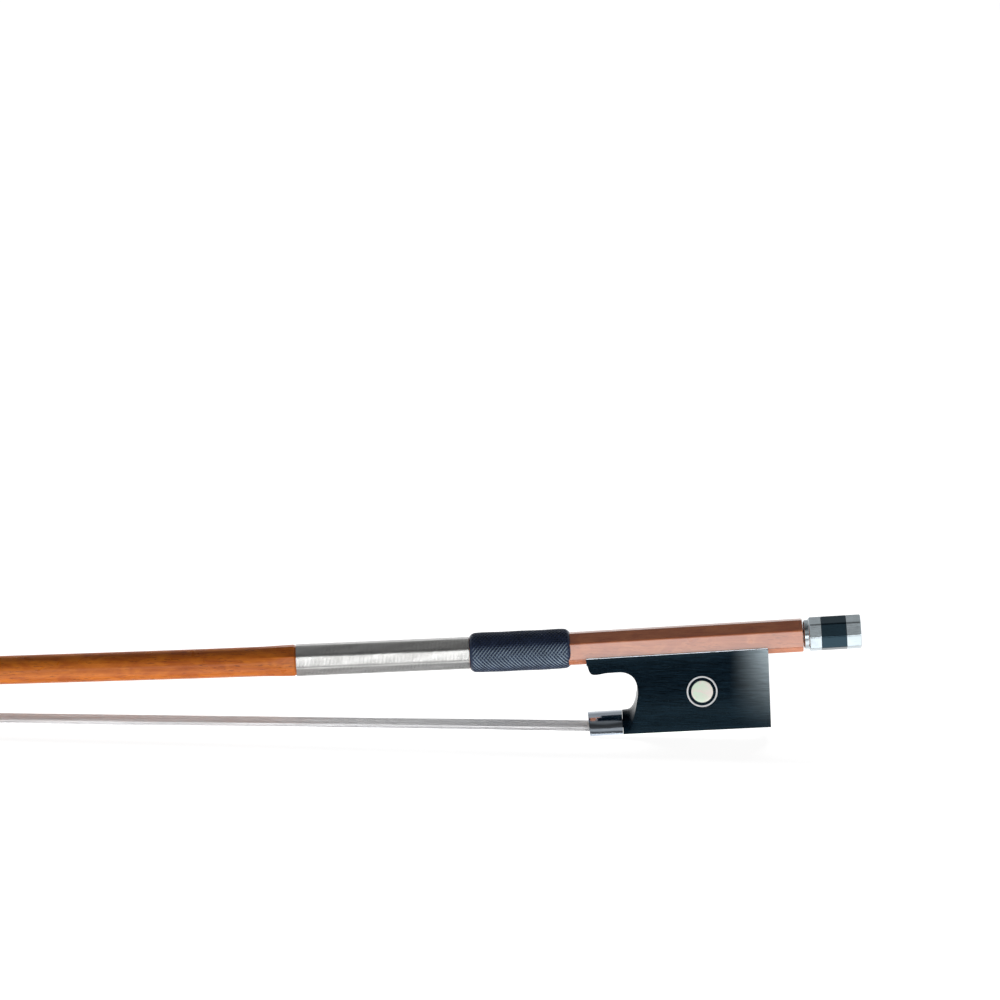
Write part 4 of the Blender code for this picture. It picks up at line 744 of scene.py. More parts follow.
def frog_blank():
    """The side outline carried across Y, then held within the hollow-cheeked width."""
    outline = [(HEEL_TOP, FROG_TOP), (HEEL_BOTTOM, HEEL_DEPTH), (FROG_FRONT, FRONT_DEPTH)]
    outline += [(FROG_FRONT, FERRULE_TOP), *throat_points(), (TONGUE_TIP, FROG_TOP)]
    x, z = -np.array(outline).T
    sides = [np.column_stack([x, np.full(len(x), y), z]) for y in (-FROG_SOLE_WIDTH, FROG_SOLE_WIDTH)]
    obj = skin("frog_ebony", from_handle(np.stack(sides)))
    down = np.linspace(FROG_TOP, HEEL_DEPTH, 34)
    down = np.concatenate([[FROG_TOP - SPARE], down, [HEEL_DEPTH + SPARE]])
    half = frog_half_width(down)
    cheeks = np.concatenate([np.column_stack([half, -down]), np.column_stack([-half, -down])[::-1]])
    carve(obj, [bar_tool(cheeks, 0.0, TONGUE_TIP + SPARE, 70)], "INTERSECT")
    return obj


def floor_tool():
    """What comes off both sides of the throat's floor, as it turns into the ferrule's arch."""
    middle = (THROAT_TOP + FERRULE_TOP) / 2
    lower = [point for point in throat_points() if point[1] > middle]
    floor = np.array([(FERRULE_FRONT, FERRULE_TOP), (FROG_FRONT, FERRULE_TOP), *lower])[::-1]
    share = np.sin(np.linspace(0, math.pi / 2, 18))
    fall = FERRULE_HEIGHT * (1 - np.sqrt(1 - share**2))
    half = FROG_SOLE_WIDTH / 2
    places, bends = np.array(FLOOR_ARCH).T
    behind = np.linspace(places[0], places[-1], 16)
    rings = []
    for back, bend in zip(behind, np.interp(-behind, -places, bends)):
        down = float(np.interp(FROG_FRONT - back, *floor.T)) - GLUE_GAP
        right = np.column_stack([half * share, -down - bend * fall])
        outer = ((half + SPARE, -down - bend * (fall[-1] + SPARE)), (half + SPARE, SPARE - middle))
        right = np.concatenate([right, outer])
        ring = np.concatenate([right, right[:0:-1] * (-1, 1)])
        rings.append(np.column_stack([np.full(len(ring), back - FROG_FRONT), ring]))
    return skin("tool", from_handle(np.stack(rings)))


def arch(width, top, bottom, count=41):
    """A D: flat at the bottom, and above it the upper half of an ellipse."""
    angle = np.linspace(0.0, math.pi, count)
    return np.column_stack([width / 2 * np.cos(angle), -bottom + (bottom - top) * np.sin(angle)])


def mirrored_outline(right):
    """An outline of (y, z) from the points of its right half, top to bottom."""
    return right + [(-y, z) for y, z in right[::-1]]


def handle_groove(gap, lip):
    """The outline of the handle's lower half, wider all round by a gap, from a lip downwards."""
    half, corner = BUTT_FLATS / 2, gap * math.tan(math.pi / 8)
    low_corner = (BOTTOM_FLAT / 2 + corner, -half - gap)
    return mirrored_outline([(half + gap, -lip), (half + gap, -SIDE_BOTTOM - corner), low_corner])


def eye_tools():
    """The seats of both rings and both pearls, open to the outside."""
    inner, outer = EYE_RING - EYE_RING_WALL - GLUE_GAP, EYE_RING + GLUE_GAP
    ring = ((-EYE_SUNK, outer), (EYE_REACH, outer), (EYE_REACH, inner), (-EYE_SUNK, inner))
    disc = ((-EYE_SUNK, PEARL + GLUE_GAP), (EYE_REACH, PEARL + GLUE_GAP))
    tools = []
    for side in (-1, 1):
        tools.append(skin("tool", on_cheek(ring, side), loop=True))
        tools.append(skin("tool", on_cheek(disc, side)))
    return tools


def spigot_tool():
    """The frog's tenon in the ferrule: the ferrule's D less its wall, cut flat over the wedge."""
    wedge_top = STICK_HEIGHT - HAIR_HALF - 2 * REST_GAP - WEDGE_THICKNESS
    inner = FERRULE_WIDTH - 2 * FERRULE_WALL - 2 * REST_GAP
    bottom = FRONT_DEPTH - FERRULE_WALL - REST_GAP
    y, z = arch(inner, FERRULE_TOP + FERRULE_WALL + REST_GAP, bottom).T
    outline = np.column_stack([y, np.maximum(z, REST_GAP - wedge_top)])
    return bar_tool(outline, FROG_FRONT - SPARE, FROG_FRONT + SPIGOT_LENGTH)


def sole_tools():
    """The tapered seat of the slide, the channel of the hair over it and the knot's mortise."""
    deep, low = FRONT_DEPTH - SLIDE_DEPTH, -HEEL_DEPTH - SPARE
    wide = SLIDE_HALF + REST_GAP
    slim = wide - SLIDE_DRAFT * (-low - deep) / SLIDE_DEPTH
    slide = mirrored_outline([(wide, REST_GAP - deep), (slim, low)])
    seat = bar_tool(slide, FROG_FRONT - SLIDE_LENGTH - REST_GAP, FROG_FRONT + SPARE)
    knot_end = KNOT_END + KNOT_LENGTH - FROG_FRONT
    top = CHANNEL_TOP - STICK_HEIGHT + HAIR_HALF
    start = -FROG_FRONT - KNOT_ROOM
    channel = box_tool((start, -KNOT_HALF, low), (knot_end, KNOT_HALF, top), from_handle)
    start = knot_end - KNOT_LENGTH
    mortise = box_tool((start, -KNOT_HALF, low), (knot_end, KNOT_HALF, -KNOT_TOP), from_handle)
    return [seat, channel, mortise]


def build_frog(material):
    """The block with eased edges, cut for the handle, the slide, the hair and the knot."""
    obj = frog_blank()
    carve(obj, [floor_tool()])
    soften(obj, FROG_ROUNDING)
    carve(obj, [spigot_tool()], "UNION")
    groove = handle_groove(RUN_GAP + UNDERSLIDE + GLUE_GAP, FROG_TOP - SPARE)
    for tool in [bar_tool(groove, 0.0, TONGUE_TIP + SPARE)] + sole_tools():
        carve(obj, [tool])
    carve(obj, eye_tools())
    shade(obj, 30)
    dress(obj, material, "frog", "frog_body")


def build_ferrule(material):
    """The D-shaped ring: rings of the D with its two rims eased, and its mouth slanted."""
    back, front = FROG_FRONT + REST_GAP, FERRULE_FRONT
    steps = (
        (back, 0.00006), (back + 0.00006, 0.0), (front - 0.00012, 0.0), (front - 0.00003, 0.00005),
        (front, 0.00016), (front, FERRULE_WALL - 0.00012), (front - 0.0001, FERRULE_WALL),
        (back, FERRULE_WALL),
    )
    rings = []
    for along, inset in steps:
        ring = arch(FERRULE_WIDTH - 2 * inset, FERRULE_TOP + inset, FRONT_DEPTH - inset, 61)
        floor = np.linspace(ring[-1], ring[0], 14)[1:-1]
        ring = np.concatenate([ring, floor])
        slant = MOUTH_SLANT * np.clip((-ring[:, 1] - FERRULE_TOP) / FERRULE_HEIGHT, 0, 1)
        slant = slant * (along > back + 0.001)
        rings.append(np.column_stack([-along + slant, ring]))
    obj = skin("ferrule_metal", from_handle(np.stack(rings)), loop=True, sharp=40)
    dress(obj, material, "frog", "ferrule")


def on_cheek(profile, side, count=96):
    """A round inlay in the frog's cheek: the profile (height above the cheek, radius) carried
    round the eye's centre, each point standing on the half width that the frog has there."""
    angle = np.arange(count) * 2 * math.pi / count
    height, radius = np.asarray(profile).T[:, :, None]
    down = EYE_DEPTH - radius * np.sin(angle)
    y = side * (frog_half_width(down) + height)
    return from_handle(np.stack([-EYE_PLACE + radius * np.cos(angle), y, -down], -1))


def build_eyes(metal, pearl):
    """On each side a ring with an eased face, and inside it a pearl disc, slightly domed."""
    inner, edge = EYE_RING - EYE_RING_WALL, 0.00006
    floor = GLUE_GAP - EYE_SUNK
    for side, name in ((-1, "left"), (1, "right")):
        profile = ((floor, EYE_RING), (EYE_PROUD - edge, EYE_RING), (EYE_PROUD, EYE_RING - edge),
                   (EYE_PROUD, inner + edge), (EYE_PROUD - edge, inner), (floor, inner))
        ring = skin(f"eye_band_{name}", on_cheek(profile, side), loop=True, sharp=40)
        dress(ring, metal, "frog", f"eye_ring_{name}")
        radius = PEARL * np.array((1.0, 1.0, 0.985, 0.95, 0.8, 0.55, 0.25, 0.02))
        height = EYE_PROUD - edge * np.array((0.0, 1.0, 0.4, 0.2, 0.1, 0.05, 0.0, 0.0))
        height[0] = floor
        disc = skin(f"eye_shell_{name}", on_cheek(np.column_stack([height, radius]), side))
        dress(disc, pearl, "frog", f"eye_pearl_{name}")


# Button

def faceted(profile, count=128):
    """Rings along the handle's axis: each row gives the place, the half width across the flats
    and how far its round section has turned into the eased octagon."""
    angle = np.arange(count) * 2 * math.pi / count
    flats = eight_sided(angle - BUTTON_TURN, 90.0)
    rings = []
    for along, half, flat in profile:
        radius = half * ((1 - flat) + flat * flats)
        rings.append(np.stack([np.full(count, along), radius * np.cos(angle), radius * np.sin(angle)], 1))
    return from_handle(np.stack(rings))


def rows_at(place, *steps):
    """Rows of a profile from steps of (way past the place, depth under the flats, octagon)."""
    return [(place + past, BUTTON_HALF - depth, flat) for past, depth, flat in steps]


def front_ring_rows():
    """The bore, a domed collar as a quarter sine, its neck, and the eight-sided ring."""
    front = BUTT_GAP + COLLAR_LENGTH
    rows = [(BUTT_GAP, RING_BORE, 0), (BUTT_GAP, COLLAR_HALF * 0.84, 0)]
    for s in np.linspace(0.0, 1.0, 9)[1:]:
        swell = 0.84 + 0.14 * math.sin(s * math.pi / 2)
        rows.append((BUTT_GAP + 0.0004 * s, COLLAR_HALF * swell, 0))
    rows += [(BUTT_GAP + 0.0007, COLLAR_HALF * 0.975, 0), (BUTT_GAP + 0.0010, COLLAR_HALF * 0.985, 0)]
    rows += [(front - 0.0001, COLLAR_HALF * 0.995, 0.1)]
    rows += rows_at(front, (0, 0.00036, 0.7), (0.0001, 0.0002, 0.95), (0.00025, 0.00006, 1))
    rows += rows_at(front, (0.0005, 0, 1), (0.00065, 0, 1))
    rows += rows_at(BAND_START, (-0.00025, 0, 1), (-0.00012, 0, 1), (-0.00006, 0.00004, 1))
    return rows + [(BAND_START - 0.00004, RING_BORE, 0)]


def core_rows():
    """The black band between the rings, and the core under them."""
    near, far = BUTT_GAP + 0.0001, BUTTON_END - 0.0011
    rows = [(near, CORE_BORE, 0), (near, CORE_HALF, 0), (BAND_START - 0.00002, CORE_HALF, 0)]
    rows += rows_at(BAND_START, (-0.00002, 0.00003, 1), (0.00002, 0, 1), (0.00015, 0, 1))
    rows += rows_at(BAND_END, (-0.00015, 0, 1), (-0.00002, 0, 1), (0.00002, 0.00003, 1))
    return rows + [(BAND_END + 0.00002, CORE_HALF, 0), (far, CORE_HALF, 0), (far, CORE_BORE, 0)]


def rear_ring_rows():
    """The bore, the eight-sided ring, its rounded edge and its closed end."""
    rows = [(BUTTON_END - 0.0010, RING_BORE, 0), (BAND_END + 0.00004, RING_BORE, 0)]
    rows += rows_at(BAND_END, (0.00006, 0.00004, 1), (0.00012, 0, 1), (0.00025, 0, 1))
    rows += rows_at(BUTTON_END, (-0.00055, 0, 1), (-0.0004, 0, 1), (-0.00016, 0.00006, 1))
    rows += rows_at(BUTTON_END, (-0.00004, 0.00018, 1), (0, 0.0004, 1))
    return rows + [(BUTTON_END, BUTTON_HALF * 0.5, 0.3), (BUTTON_END, 0.0003, 0)]


def build_button(metal, ebony):
    """Front ring with its turned collar, black band, and rear ring with a closed end."""
    ring = skin("button_front", faceted(front_ring_rows()), loop=True, sharp=40)
    dress(ring, metal, "screw", "button_front_ring")
    core = skin("button_band", faceted(core_rows()), loop=True, sharp=40)
    dress(core, ebony, "screw", "button_core")
    cap = skin("button_rear", faceted(rear_ring_rows()), sharp=40)
    dress(cap, metal, "screw", "button_rear_ring")


# Materials

class Nodes:
    """A node tree with short calls. A value is a plain one, or the socket that it comes from."""

    def __init__(self, tree):
        self.tree = tree

    def feed(self, socket, value):
        """Gives a socket its value."""
        if isinstance(value, bpy.types.NodeSocket):
            self.tree.links.new(value, socket)
        else:
            socket.default_value = value

    def node(self, kind, inputs=None, **settings):
        """A new node, with its settings and its inputs by their names or numbers."""
        made = self.tree.nodes.new("ShaderNode" + kind)
        for name, value in settings.items():
            setattr(made, name, value)
        for name, value in (inputs or {}).items():
            self.feed(made.inputs[name], value)
        return made

    def join(self, made, **inputs):
        """Feeds inputs of a node by their names, with low lines in place of spaces."""
        for name, value in inputs.items():
            self.feed(made.inputs[name.replace("_", " ")], value)
        return made.outputs

    def use(self, tree, **inputs):
        """The outputs of a node group with these inputs."""
        return self.join(self.node("Group", node_tree=tree), **inputs)

    def math(self, operation, one, two=0.5, three=0.0, clamp=False):
        inputs = {0: one, 1: two, 2: three}
        return self.node("Math", inputs, operation=operation, use_clamp=clamp).outputs[0]

    def times(self, one, two):
        return self.math("MULTIPLY", one, two)

    def between(self, share, one, two):
        """From one value to the other as the share goes from 0 to 1."""
        return self.span(share, 0.0, 1.0, one, two)

    def span(self, value, low, high, to_low=0.0, to_high=1.0):
        """The value's way from low to high, held there, as its way from to_low to to_high."""
        made = self.node("MapRange", {"Value": value, "From Min": low, "From Max": high,
                                      "To Min": to_low, "To Max": to_high})
        return made.outputs["Result"]

    def ramp(self, value, *stops):
        """Values between stops of (value, result), straight from each to the next."""
        low, high = stops[0][0], stops[-1][0]
        made = self.node("ValToRGB", {"Fac": self.span(value, low, high)})
        marks = made.color_ramp.elements
        for place, result in stops[1:-1]:
            marks.new((place - low) / (high - low)).color = (result, result, result, 1)
        marks[0].color = (stops[0][1],) * 3 + (1,)
        marks[-1].color = (stops[-1][1],) * 3 + (1,)
        return made.outputs["Color"]

    def blend(self, share, one, two):
        """A colour between two, each given by three numbers or by a socket."""
        one, two = ((*c, 1) if isinstance(c, tuple) else c for c in (one, two))
        return self.node("Mix", {0: share, 6: one, 7: two}, data_type="RGBA").outputs[2]

    def noise(self, vector, scale, detail, rough, warp=0.0):
        """Clouds of noise; a scale of three numbers stretches them along the axes."""
        if isinstance(scale, tuple):
            vector, scale = self.stretch(vector, scale), 1.0
        made = self.node("TexNoise", {"Vector": vector, "Scale": scale, "Detail": detail,
                                      "Roughness": rough, "Distortion": warp})
        return made.outputs["Fac"]

    def stretch(self, vector, scale):
        return self.node("VectorMath", {0: vector, 1: scale}, operation="MULTIPLY").outputs[0]

    def axes(self, vector):
        """X, Y and Z of a vector."""
        return self.node("SeparateXYZ", {"Vector": vector}).outputs

    def bump(self, height, strength, distance):
        inputs = {"Height": height, "Strength": strength, "Distance": distance}
        return self.node("Bump", inputs).outputs[0]


def group(name, inputs, outputs):
    """An empty node group that takes a vector and plain inputs: its nodes, the sockets that it
    is given and its output node."""
    tree = bpy.data.node_groups.new(name, "ShaderNodeTree")
    tree.interface.new_socket("Vector", in_out="INPUT", socket_type="NodeSocketVector")
    for socket, value in inputs.items():
        made = tree.interface.new_socket(socket, in_out="INPUT", socket_type="NodeSocketFloat")
        made.default_value = value
    for socket in outputs:
        tree.interface.new_socket(socket, in_out="OUTPUT", socket_type="NodeSocketFloat")
    given = tree.nodes.new("NodeGroupInput").outputs
    return Nodes(tree), given, tree.nodes.new("NodeGroupOutput")


def make_fibres():
    """Wood fibres along X: broad figure, fine streaks, and short dark pores."""
    work, given, out = group(
        "wood_fibres", {"Length": 18.0, "Width": 900.0, "Pores": 0.62}, ("Figure", "Streak", "Pore"))
    squeeze = {"X": given["Length"], "Y": given["Width"], "Z": given["Width"]}
    long = work.stretch(given["Vector"], work.node("CombineXYZ", squeeze).outputs[0])
    figure = work.noise(long, (0.6, 0.18, 0.18), 3.0, 0.6, 0.6)
    streak = work.noise(long, 1.0, 4.0, 0.62, 0.3)
    pore = work.noise(long, (9.0, 2.2, 2.2), 2.0, 0.5)
    gate = work.noise(long, (1.5, 0.7, 0.7), 2.0, 0.5)
    mask = work.span(pore, given["Pores"], work.math("ADD", given["Pores"], 0.07))
    mask = work.times(mask, work.span(gate, 0.4, 0.6))
    work.join(out, Figure=work.span(figure, 0.3, 0.7), Streak=work.span(streak, 0.3, 0.7), Pore=mask)
    return work.tree


def make_handling():
    """Marks of handling: wide smudges, and fine scratches that lie mostly along X."""
    work, given, out = group(
        "handling", {"Smudge Scale": 220.0, "Scratch Length": 160.0}, ("Smudge", "Scratch"))
    smudge = work.noise(given["Vector"], given["Smudge Scale"], 3.0, 0.55, 0.4)
    squeeze = work.node("CombineXYZ", {"X": given["Scratch Length"], "Y": 5200.0, "Z": 5200.0})
    scratch = work.noise(work.stretch(given["Vector"], squeeze.outputs[0]), 1.0, 2.0, 0.6)
    work.join(out, Smudge=work.span(smudge, 0.3, 0.7), Scratch=work.span(scratch, 0.45, 0.75))
    return work.tree


SHELL_TURN = (0.3280, 0.3325)
# Where a pale sheen is painted up the frog's heel: its span along X and up Z
PAINTED_SHEEN_X, PAINTED_SHEEN_Z = (0.3370, 0.3480), (0.002, 0.0230)
THROAT_X, THROAT_Z = (0.3135, 0.3095), (0.0125, 0.0100)
FIBRES = make_fibres()
HANDLING = make_handling()


class Finish(Nodes):
    """The nodes of a new material with its own Principled BSDF."""

    def __init__(self, name, colour, roughness, metallic=0.0, **sockets):
        self.made = bpy.data.materials.new(name)
        self.made.use_nodes = True
        super().__init__(self.made.node_tree)
        self.shader = self.tree.nodes["Principled BSDF"]
        self.place = self.node("TexCoord").outputs["Object"]
        self.give(Base_Color=(*colour, 1.0), Roughness=roughness, Metallic=metallic, **sockets)

    def give(self, **sockets):
        """Feeds sockets of the shader by their names, and gives back the material."""
        self.join(self.shader, **sockets)
        return self.made


def wood_material():
    """Varnished orange-brown wood, redder towards the head, with streaks, golden clouds and
    pores; the bare handle is paler and takes more shine."""
    work = Finish(
        "polished_pernambuco", (0.4, 0.14, 0.04), 0.30, Coat_Roughness=0.16, Coat_IOR=2.0,
        Specular_IOR_Level=0.25)
    grain = work.use(FIBRES, Vector=work.place, Length=60.0, Width=1700.0, Pores=0.57)
    clouds = work.noise(work.place, (110.0, 260.0, 260.0), 3.0, 0.6, 0.8)
    along = work.axes(work.place)["X"]
    head = work.span(along, 0.12, -0.30)
    handle = work.span(along, 0.225, 0.30)
    pale = work.blend(head, (0.62, 0.178, 0.020), (0.50, 0.118, 0.016))
    deep = work.blend(head, (0.31, 0.060, 0.009), (0.24, 0.040, 0.007))
    pale = work.blend(handle, pale, (0.54, 0.168, 0.058))
    deep = work.blend(handle, deep, (0.36, 0.086, 0.028))
    tone = work.math("MULTIPLY_ADD", grain["Streak"], 0.45, work.times(grain["Figure"], 0.25))
    tone = work.math("ADD", tone, work.span(clouds, 0.40, 0.64, 0.0, 0.5), clamp=True)
    pores = work.times(grain["Pore"], work.between(handle, 0.6, 0.3))
    colour = work.blend(pores, work.blend(tone, deep, pale), (0.09, 0.020, 0.007))
    smudge = work.use(HANDLING, Vector=work.place)["Smudge"]
    height = work.math("SUBTRACT", work.times(grain["Streak"], 0.3), grain["Pore"])
    return work.give(Base_Color=colour, Roughness=work.between(smudge, 0.26, 0.38),
                     Coat_Weight=work.between(handle, 0.07, 1.0),
                     Normal=work.bump(height, 0.2, 0.00003))


def painted_heel_sheen(work, streak):
    """A painted sheen on the frog: pale up its heel, more in the streaks, less where the
    surface looks along X."""
    parts = work.axes(work.place)
    heel = work.times(work.span(parts["X"], *PAINTED_SHEEN_X), work.span(parts["Z"], *PAINTED_SHEEN_Z))
    heel = work.times(work.math("POWER", heel, 1.6), work.between(streak, 0.6, 1.0))
    facing = work.math("ABSOLUTE", work.axes(work.node("NewGeometry").outputs["Normal"])["X"])
    return work.times(heel, work.span(facing, 0.3, 0.9, 1.0, 0.2))


def ebony_material(name, lift, shine, roughness, wear_and_painted_sheen=False):
    """Polished black wood: a cool sheen and fine fibres. The frog's has a pale sheen painted on
    the upper heel, and next to no polish left on the floor of the throat."""
    work = Finish(
        name, (0.01, 0.02, 0.03), 0.3, Specular_IOR_Level=shine, Specular_Tint=(0.40, 0.76, 1.0, 1.0))
    grain = work.use(FIBRES, Vector=work.place, Length=190.0, Width=3000.0, Pores=0.60)
    fine = work.math("POWER", grain["Streak"], 1.5, clamp=True)
    colour = work.blend(fine, (0.0001, 0.0006, 0.0022), (0.005 * lift, 0.014 * lift, 0.024 * lift))
    colour = work.blend(work.times(grain["Pore"], 0.12), colour, (0.05, 0.085, 0.10))
    if wear_and_painted_sheen:
        # painted sheen: the upper heel painted pale blue-grey
        colour = work.blend(painted_heel_sheen(work, grain["Streak"]), colour, (0.56, 0.66, 0.71))
        parts = work.axes(work.place)
        floor = work.times(work.span(parts["X"], *THROAT_X), work.span(parts["Z"], *THROAT_Z))
        work.give(Specular_IOR_Level=work.between(floor, shine, 0.02))
    smudge = work.use(HANDLING, Vector=work.place)["Smudge"]
    height = work.math("ADD", grain["Streak"], grain["Pore"])
    return work.give(Base_Color=colour, Roughness=work.between(smudge, *roughness),
                     Normal=work.bump(height, 0.2, 0.00003))


def metal_material(name, colour, low, high, scratch=0.2):
    """Bare metal with smudges in its gloss and fine scratches."""
    work = Finish(name, colour, low, 1.0)
    marks = work.use(HANDLING, Vector=work.place, Smudge_Scale=420.0, Scratch_Length=260.0)
    dull = tuple(c * 0.84 for c in colour)
    tone = work.blend(work.times(marks["Smudge"], 0.5), colour, dull)
    return work.give(Base_Color=tone, Roughness=work.between(marks["Smudge"], low, high),
                     Normal=work.bump(marks["Scratch"], scratch, 0.00002))


def leather_material():
    """Black leather, cool in its sheen, with pores, and ribs painted paler by wear and painted glints."""
    work = Finish(
        "black_leather", (0.02, 0.025, 0.035), 0.3, Specular_IOR_Level=0.45,
        Specular_Tint=(0.5, 0.7, 1.0, 1.0))
    pores = work.node("TexVoronoi", {"Vector": work.place, "Scale": 3600.0}).outputs["Distance"]
    tone = work.noise(work.place, 500.0, 3.0, 0.6)
    colour = work.blend(work.span(tone, 0.35, 0.7), (0.005, 0.008, 0.025), (0.013, 0.021, 0.054))
    # Painted glints with some wear: the rib crests turn pale slate-blue by the kept paleness.
    wear_and_painted_sheen = work.node("Attribute", attribute_name="rib_wear_and_glint").outputs["Fac"]
    wear_and_painted_sheen = work.times(work.math("POWER", wear_and_painted_sheen, 1.1), work.span(tone, 0.3, 0.7, 0.6, 1.0))
    colour = work.blend(wear_and_painted_sheen, colour, (0.60, 0.74, 0.82))
    return work.give(Base_Color=colour, Roughness=work.span(tone, 0.3, 0.7, 0.24, 0.36),
                     Normal=work.bump(pores, 0.35, 0.00005))


def hair_material():
    """Pale hair with a soft sheen: each has its own tone, and patches are a little greyer."""
    work = Finish("bow_hair", (0.9, 0.9, 0.9), 0.28, Specular_IOR_Level=1.0)
    tone = work.node("Attribute", attribute_name="hair_tone").outputs["Fac"]
    patch = work.noise(work.place, (30.0, 900.0, 900.0), 2.0, 0.5)
    colour = work.blend(tone, (0.90, 0.90, 0.91), (0.99, 0.99, 1.0))
    colour = work.blend(work.span(patch, 0.5, 0.75, 0.0, 0.3), colour, (0.74, 0.73, 0.72))
    return work.give(Base_Color=colour)


def pearl_material():
    """Shell: clouds of green, rose and cream under a clear gloss."""
    work = Finish("shell", (0.8, 0.82, 0.75), 0.2, Coat_Weight=0.6, Coat_Roughness=0.05)
    cloud = work.noise(work.place, (260.0, 260.0, 416.0), 2.0, 0.5, 1.0)
    other = work.noise(work.place, 420.0, 1.0, 0.5, 1.0)
    side = work.span(work.axes(work.place)["X"], *SHELL_TURN)
    turn = work.math("MULTIPLY_ADD", cloud, 1.6, work.math("SUBTRACT", side, 0.8), clamp=True)
    colour = work.blend(turn, (0.72, 0.86, 0.70), (0.88, 0.84, 0.76))
    colour = work.blend(work.span(other, 0.52, 0.66, 0.0, 0.7), colour, (0.92, 0.76, 0.73))
    layers = work.noise(work.place, (400.0, 400.0, 2600.0), 1.0, 0.5, 1.0)
    return work.give(Base_Color=colour, Normal=work.bump(layers, 0.1, 0.00003))


def plate_material():
    """The creamy head plate, faintly clouded."""
    work = Finish("cream_plate", (0.86, 0.82, 0.72), 0.3, Coat_Weight=0.2, Coat_Roughness=0.1)
    cloud = work.noise(work.place, 380.0, 3.0, 0.55, 0.4)
    colour = work.blend(work.span(cloud, 0.35, 0.65), (0.72, 0.67, 0.56), (0.78, 0.75, 0.67))
    return work.give(Base_Color=colour, Roughness=work.span(cloud, 0.3, 0.7, 0.26, 0.36))


def plug_material():
    """Plain pale wood with streaks."""
    work = Finish("pale_plug_wood", (0.55, 0.4, 0.24), 0.6)
    grain = work.use(FIBRES, Vector=work.place, Length=120.0, Width=1500.0)
    return work.give(Base_Color=work.blend(grain["Streak"], (0.42, 0.28, 0.15), (0.62, 0.46, 0.28)))


WOOD = wood_material()
EBONY = ebony_material("frog_ebony", 1.0, 0.24, (0.17, 0.24), wear_and_painted_sheen=True)
BAND = ebony_material("band_ebony", 0.4, 0.9, (0.10, 0.18))
LINER = ebony_material("liner_ebony", 0.6, 0.28, (0.25, 0.35))
SILVER = metal_material("polished_silver", (0.66, 0.70, 0.74), 0.14, 0.26)
FERRULE = metal_material("ferrule_silver", (0.56, 0.63, 0.72), 0.08, 0.15)
RING = metal_material("ring_silver", (0.97, 0.97, 0.98), 0.42, 0.50, 0.05)
WIRE = metal_material("silver_wire", (0.60, 0.60, 0.59), 0.19, 0.25, 0.03)
BUTTON = metal_material("brushed_button_silver", (0.66, 0.75, 0.80), 0.16, 0.26, 0.45)
BRASS = metal_material("plain_brass", (0.72, 0.52, 0.22), 0.25, 0.4)
STEEL = metal_material("plain_steel", (0.55, 0.55, 0.56), 0.25, 0.4)
LEATHER = leather_material()
HAIR = hair_material()
SHELL = pearl_material()
PLATE = plate_material()
PLUG = plug_material()

build_stick(WOOD)
build_facing("head_liner", GLUE_GAP, LINER_THICKNESS, 0.0, LINER)
build_facing(
    "head_plate", 2 * GLUE_GAP + LINER_THICKNESS, PLATE_THICKNESS, PLATE_TIP, PLATE)
build_winding(WIRE)
build_grip(LEATHER)
build_hair(HAIR)
build_frog(EBONY)
build_ferrule(FERRULE)
build_eyes(RING, SHELL)
build_button(BUTTON, BAND)

KEPT = {
    "underslide": SILVER, "underslide_pin_front": SILVER, "underslide_pin_rear": SILVER,
    "eyelet": BRASS, "screw": STEEL, "pearl_slide": SHELL, "slide_base": EBONY,
    "frog_plug": PLUG, "head_plug": PLUG, "ferrule_wedge": PLUG,
    "frog_hair_knot": HAIR, "head_hair_knot": HAIR,
}
for name, finish in KEPT.items():
    nodes[name].data.materials.clear()
    nodes[name].data.materials.append(finish)


# Floor, light and camera

TABLE_HALF, TABLE_LEVEL, TABLE_REACH = 60.0, -0.0001, (0.8, 3.0)
TABLE_WHITE, TABLE_FAR, TABLE_GLOW, TABLE_SHARE = 0.94, 1.02, 1.66, 0.6
TABLE_MIRRORED = (
    (-0.80, 0.08), (-0.27, 0.08), (-0.21, 2.35), (-0.080, 2.35), (-0.062, 0.03), (-0.040, 0.03),
    (-0.022, 1.23), (-0.010, 1.23), (-0.003, 0.47), (0.004, 0.47), (0.020, 0.77), (0.250, 0.47),
)
SKY = 0.03
FRONT_SKY = (
    (0.0, 0.10), (0.06, 0.03), (0.18, 0.04), (0.30, 0.40), (0.53, 0.50), (0.60, 0.08),
    (0.86, 0.04), (0.95, 0.17), (1.0, 0.17),
)
BACK_SKY = ((0.0, 0.9), (0.20, 0.85), (0.60, 0.35), (0.86, 0.45), (1.0, 0.17))
PHOTO_PIXELS, PIXELS_PER_MM = 1000, 3.8


def build_floor():
    """A light table: white to the camera, with the bow's shadow kept faintly, and a plain light
    for the bow. In reflections it is brightest a hand's width in front of the bow, with a dark
    band nearer to it, and is dim under and behind it."""
    around = ((-1, -1), (1, -1), (1, 1), (-1, 1))
    corners = [(x * TABLE_HALF, y * TABLE_HALF, TABLE_LEVEL) for x, y in around]
    obj = mesh_object("floor", corners, [(0, 1, 2, 3)])
    if obj.data.polygons[0].normal.z < 0:
        obj.data.flip_normals()
    work = Finish("light_table", (0.8, 0.8, 0.8), 0.9, Specular_IOR_Level=0.0)
    ray = work.node("LightPath").outputs
    away = work.node("VectorMath", {0: work.place}, operation="LENGTH").outputs["Value"]
    seen = work.span(away, *TABLE_REACH, TABLE_WHITE, TABLE_FAR)
    plain = work.between(ray["Is Camera Ray"], TABLE_GLOW, seen)
    mirrored = work.ramp(work.axes(work.place)["Y"], *TABLE_MIRRORED)
    strength = work.between(ray["Is Glossy Ray"], plain, mirrored)
    strength = work.math("DIVIDE", strength, TABLE_SHARE)
    glow = work.node("Emission", {"Color": (1, 1, 1, 1), "Strength": strength})
    mixed = work.node("MixShader", {0: TABLE_SHARE, 1: work.shader.outputs[0], 2: glow.outputs[0]})
    work.join(work.tree.nodes["Material Output"], Surface=mixed.outputs[0])
    obj.data.materials.append(work.made)


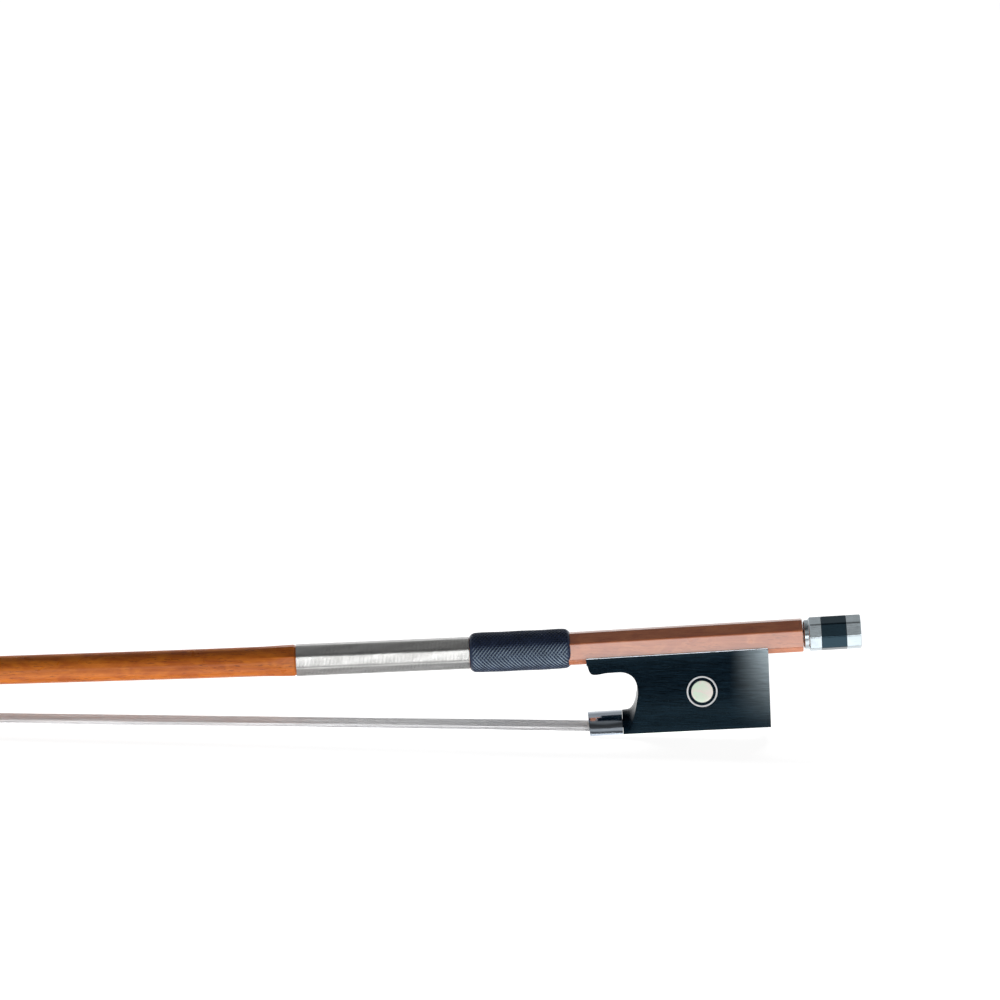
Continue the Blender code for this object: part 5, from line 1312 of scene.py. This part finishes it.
def build_world():
    """White to the camera and dim to the bow. In reflections it is bright low down behind the
    bow, and halfway up in front of it."""
    world = bpy.data.worlds.new("studio")
    bpy.context.scene.world = world
    world.use_nodes = True
    work = Nodes(world.node_tree)
    ray = work.node("LightPath").outputs
    parts = work.axes(work.node("TexCoord").outputs["Generated"])
    behind = work.span(parts["Y"], -0.2, 0.2)
    mirrored = work.between(behind, work.ramp(parts["Z"], *FRONT_SKY), work.ramp(parts["Z"], *BACK_SKY))
    strength = work.between(ray["Is Glossy Ray"], SKY, mirrored)
    seen = work.math("MAXIMUM", ray["Is Camera Ray"], ray["Is Transmission Ray"])
    strength = work.math("MAXIMUM", strength, seen)
    work.join(world.node_tree.nodes["Background"], Color=(1, 1, 1, 1), Strength=strength)


def softbox(name, place, at, size, power, mirrored):
    """An area lamp; one that isn't mirrored lights the bow without showing in its gloss."""
    lamp = bpy.data.lights.new(name, "AREA")
    lamp.shape = "RECTANGLE"
    lamp.size, lamp.size_y = size
    lamp.energy = power
    obj = add_object(name, lamp)
    obj.location = place
    obj.visible_glossy = mirrored
    obj.rotation_euler = (Vector(at) - obj.location).to_track_quat("-Z", "Y").to_euler()


def build_camera():
    """A long lens at the photograph's angle: level across, 8.7 degrees above, rolled a little."""
    lens, sensor, width = 250.0, 36.0, PHOTO_PIXELS / PIXELS_PER_MM / 1000
    target = Vector((0.2761, 0.0, 0.0616))
    elevation, roll = math.radians(8.7), math.radians(0.83)
    camera = bpy.data.cameras.new("camera")
    camera.lens, camera.sensor_width = lens, sensor
    camera.clip_start, camera.clip_end = 0.05, 100.0
    obj = add_object("camera", camera)
    back = Vector((0.0, -math.cos(elevation), math.sin(elevation)))
    obj.location = target + back * (width * lens / sensor)
    facing = (-back).to_track_quat("-Z", "Y").to_matrix() @ Matrix.Rotation(roll, 3, "Z")
    obj.rotation_euler = facing.to_euler()
    bpy.context.scene.camera = obj


build_floor()
build_world()
softbox("back_top", (0.0, 1.75, 1.1), (0.0, 0.0, 0.0), (1.6, 0.6), 56.0, False)
softbox("side", (1.7, -1.5, 0.16), (0.25, 0.0, 0.02), (0.5, 0.3), 6.0, True)
build_camera()

bpy.context.scene.view_settings.view_transform = "Standard"
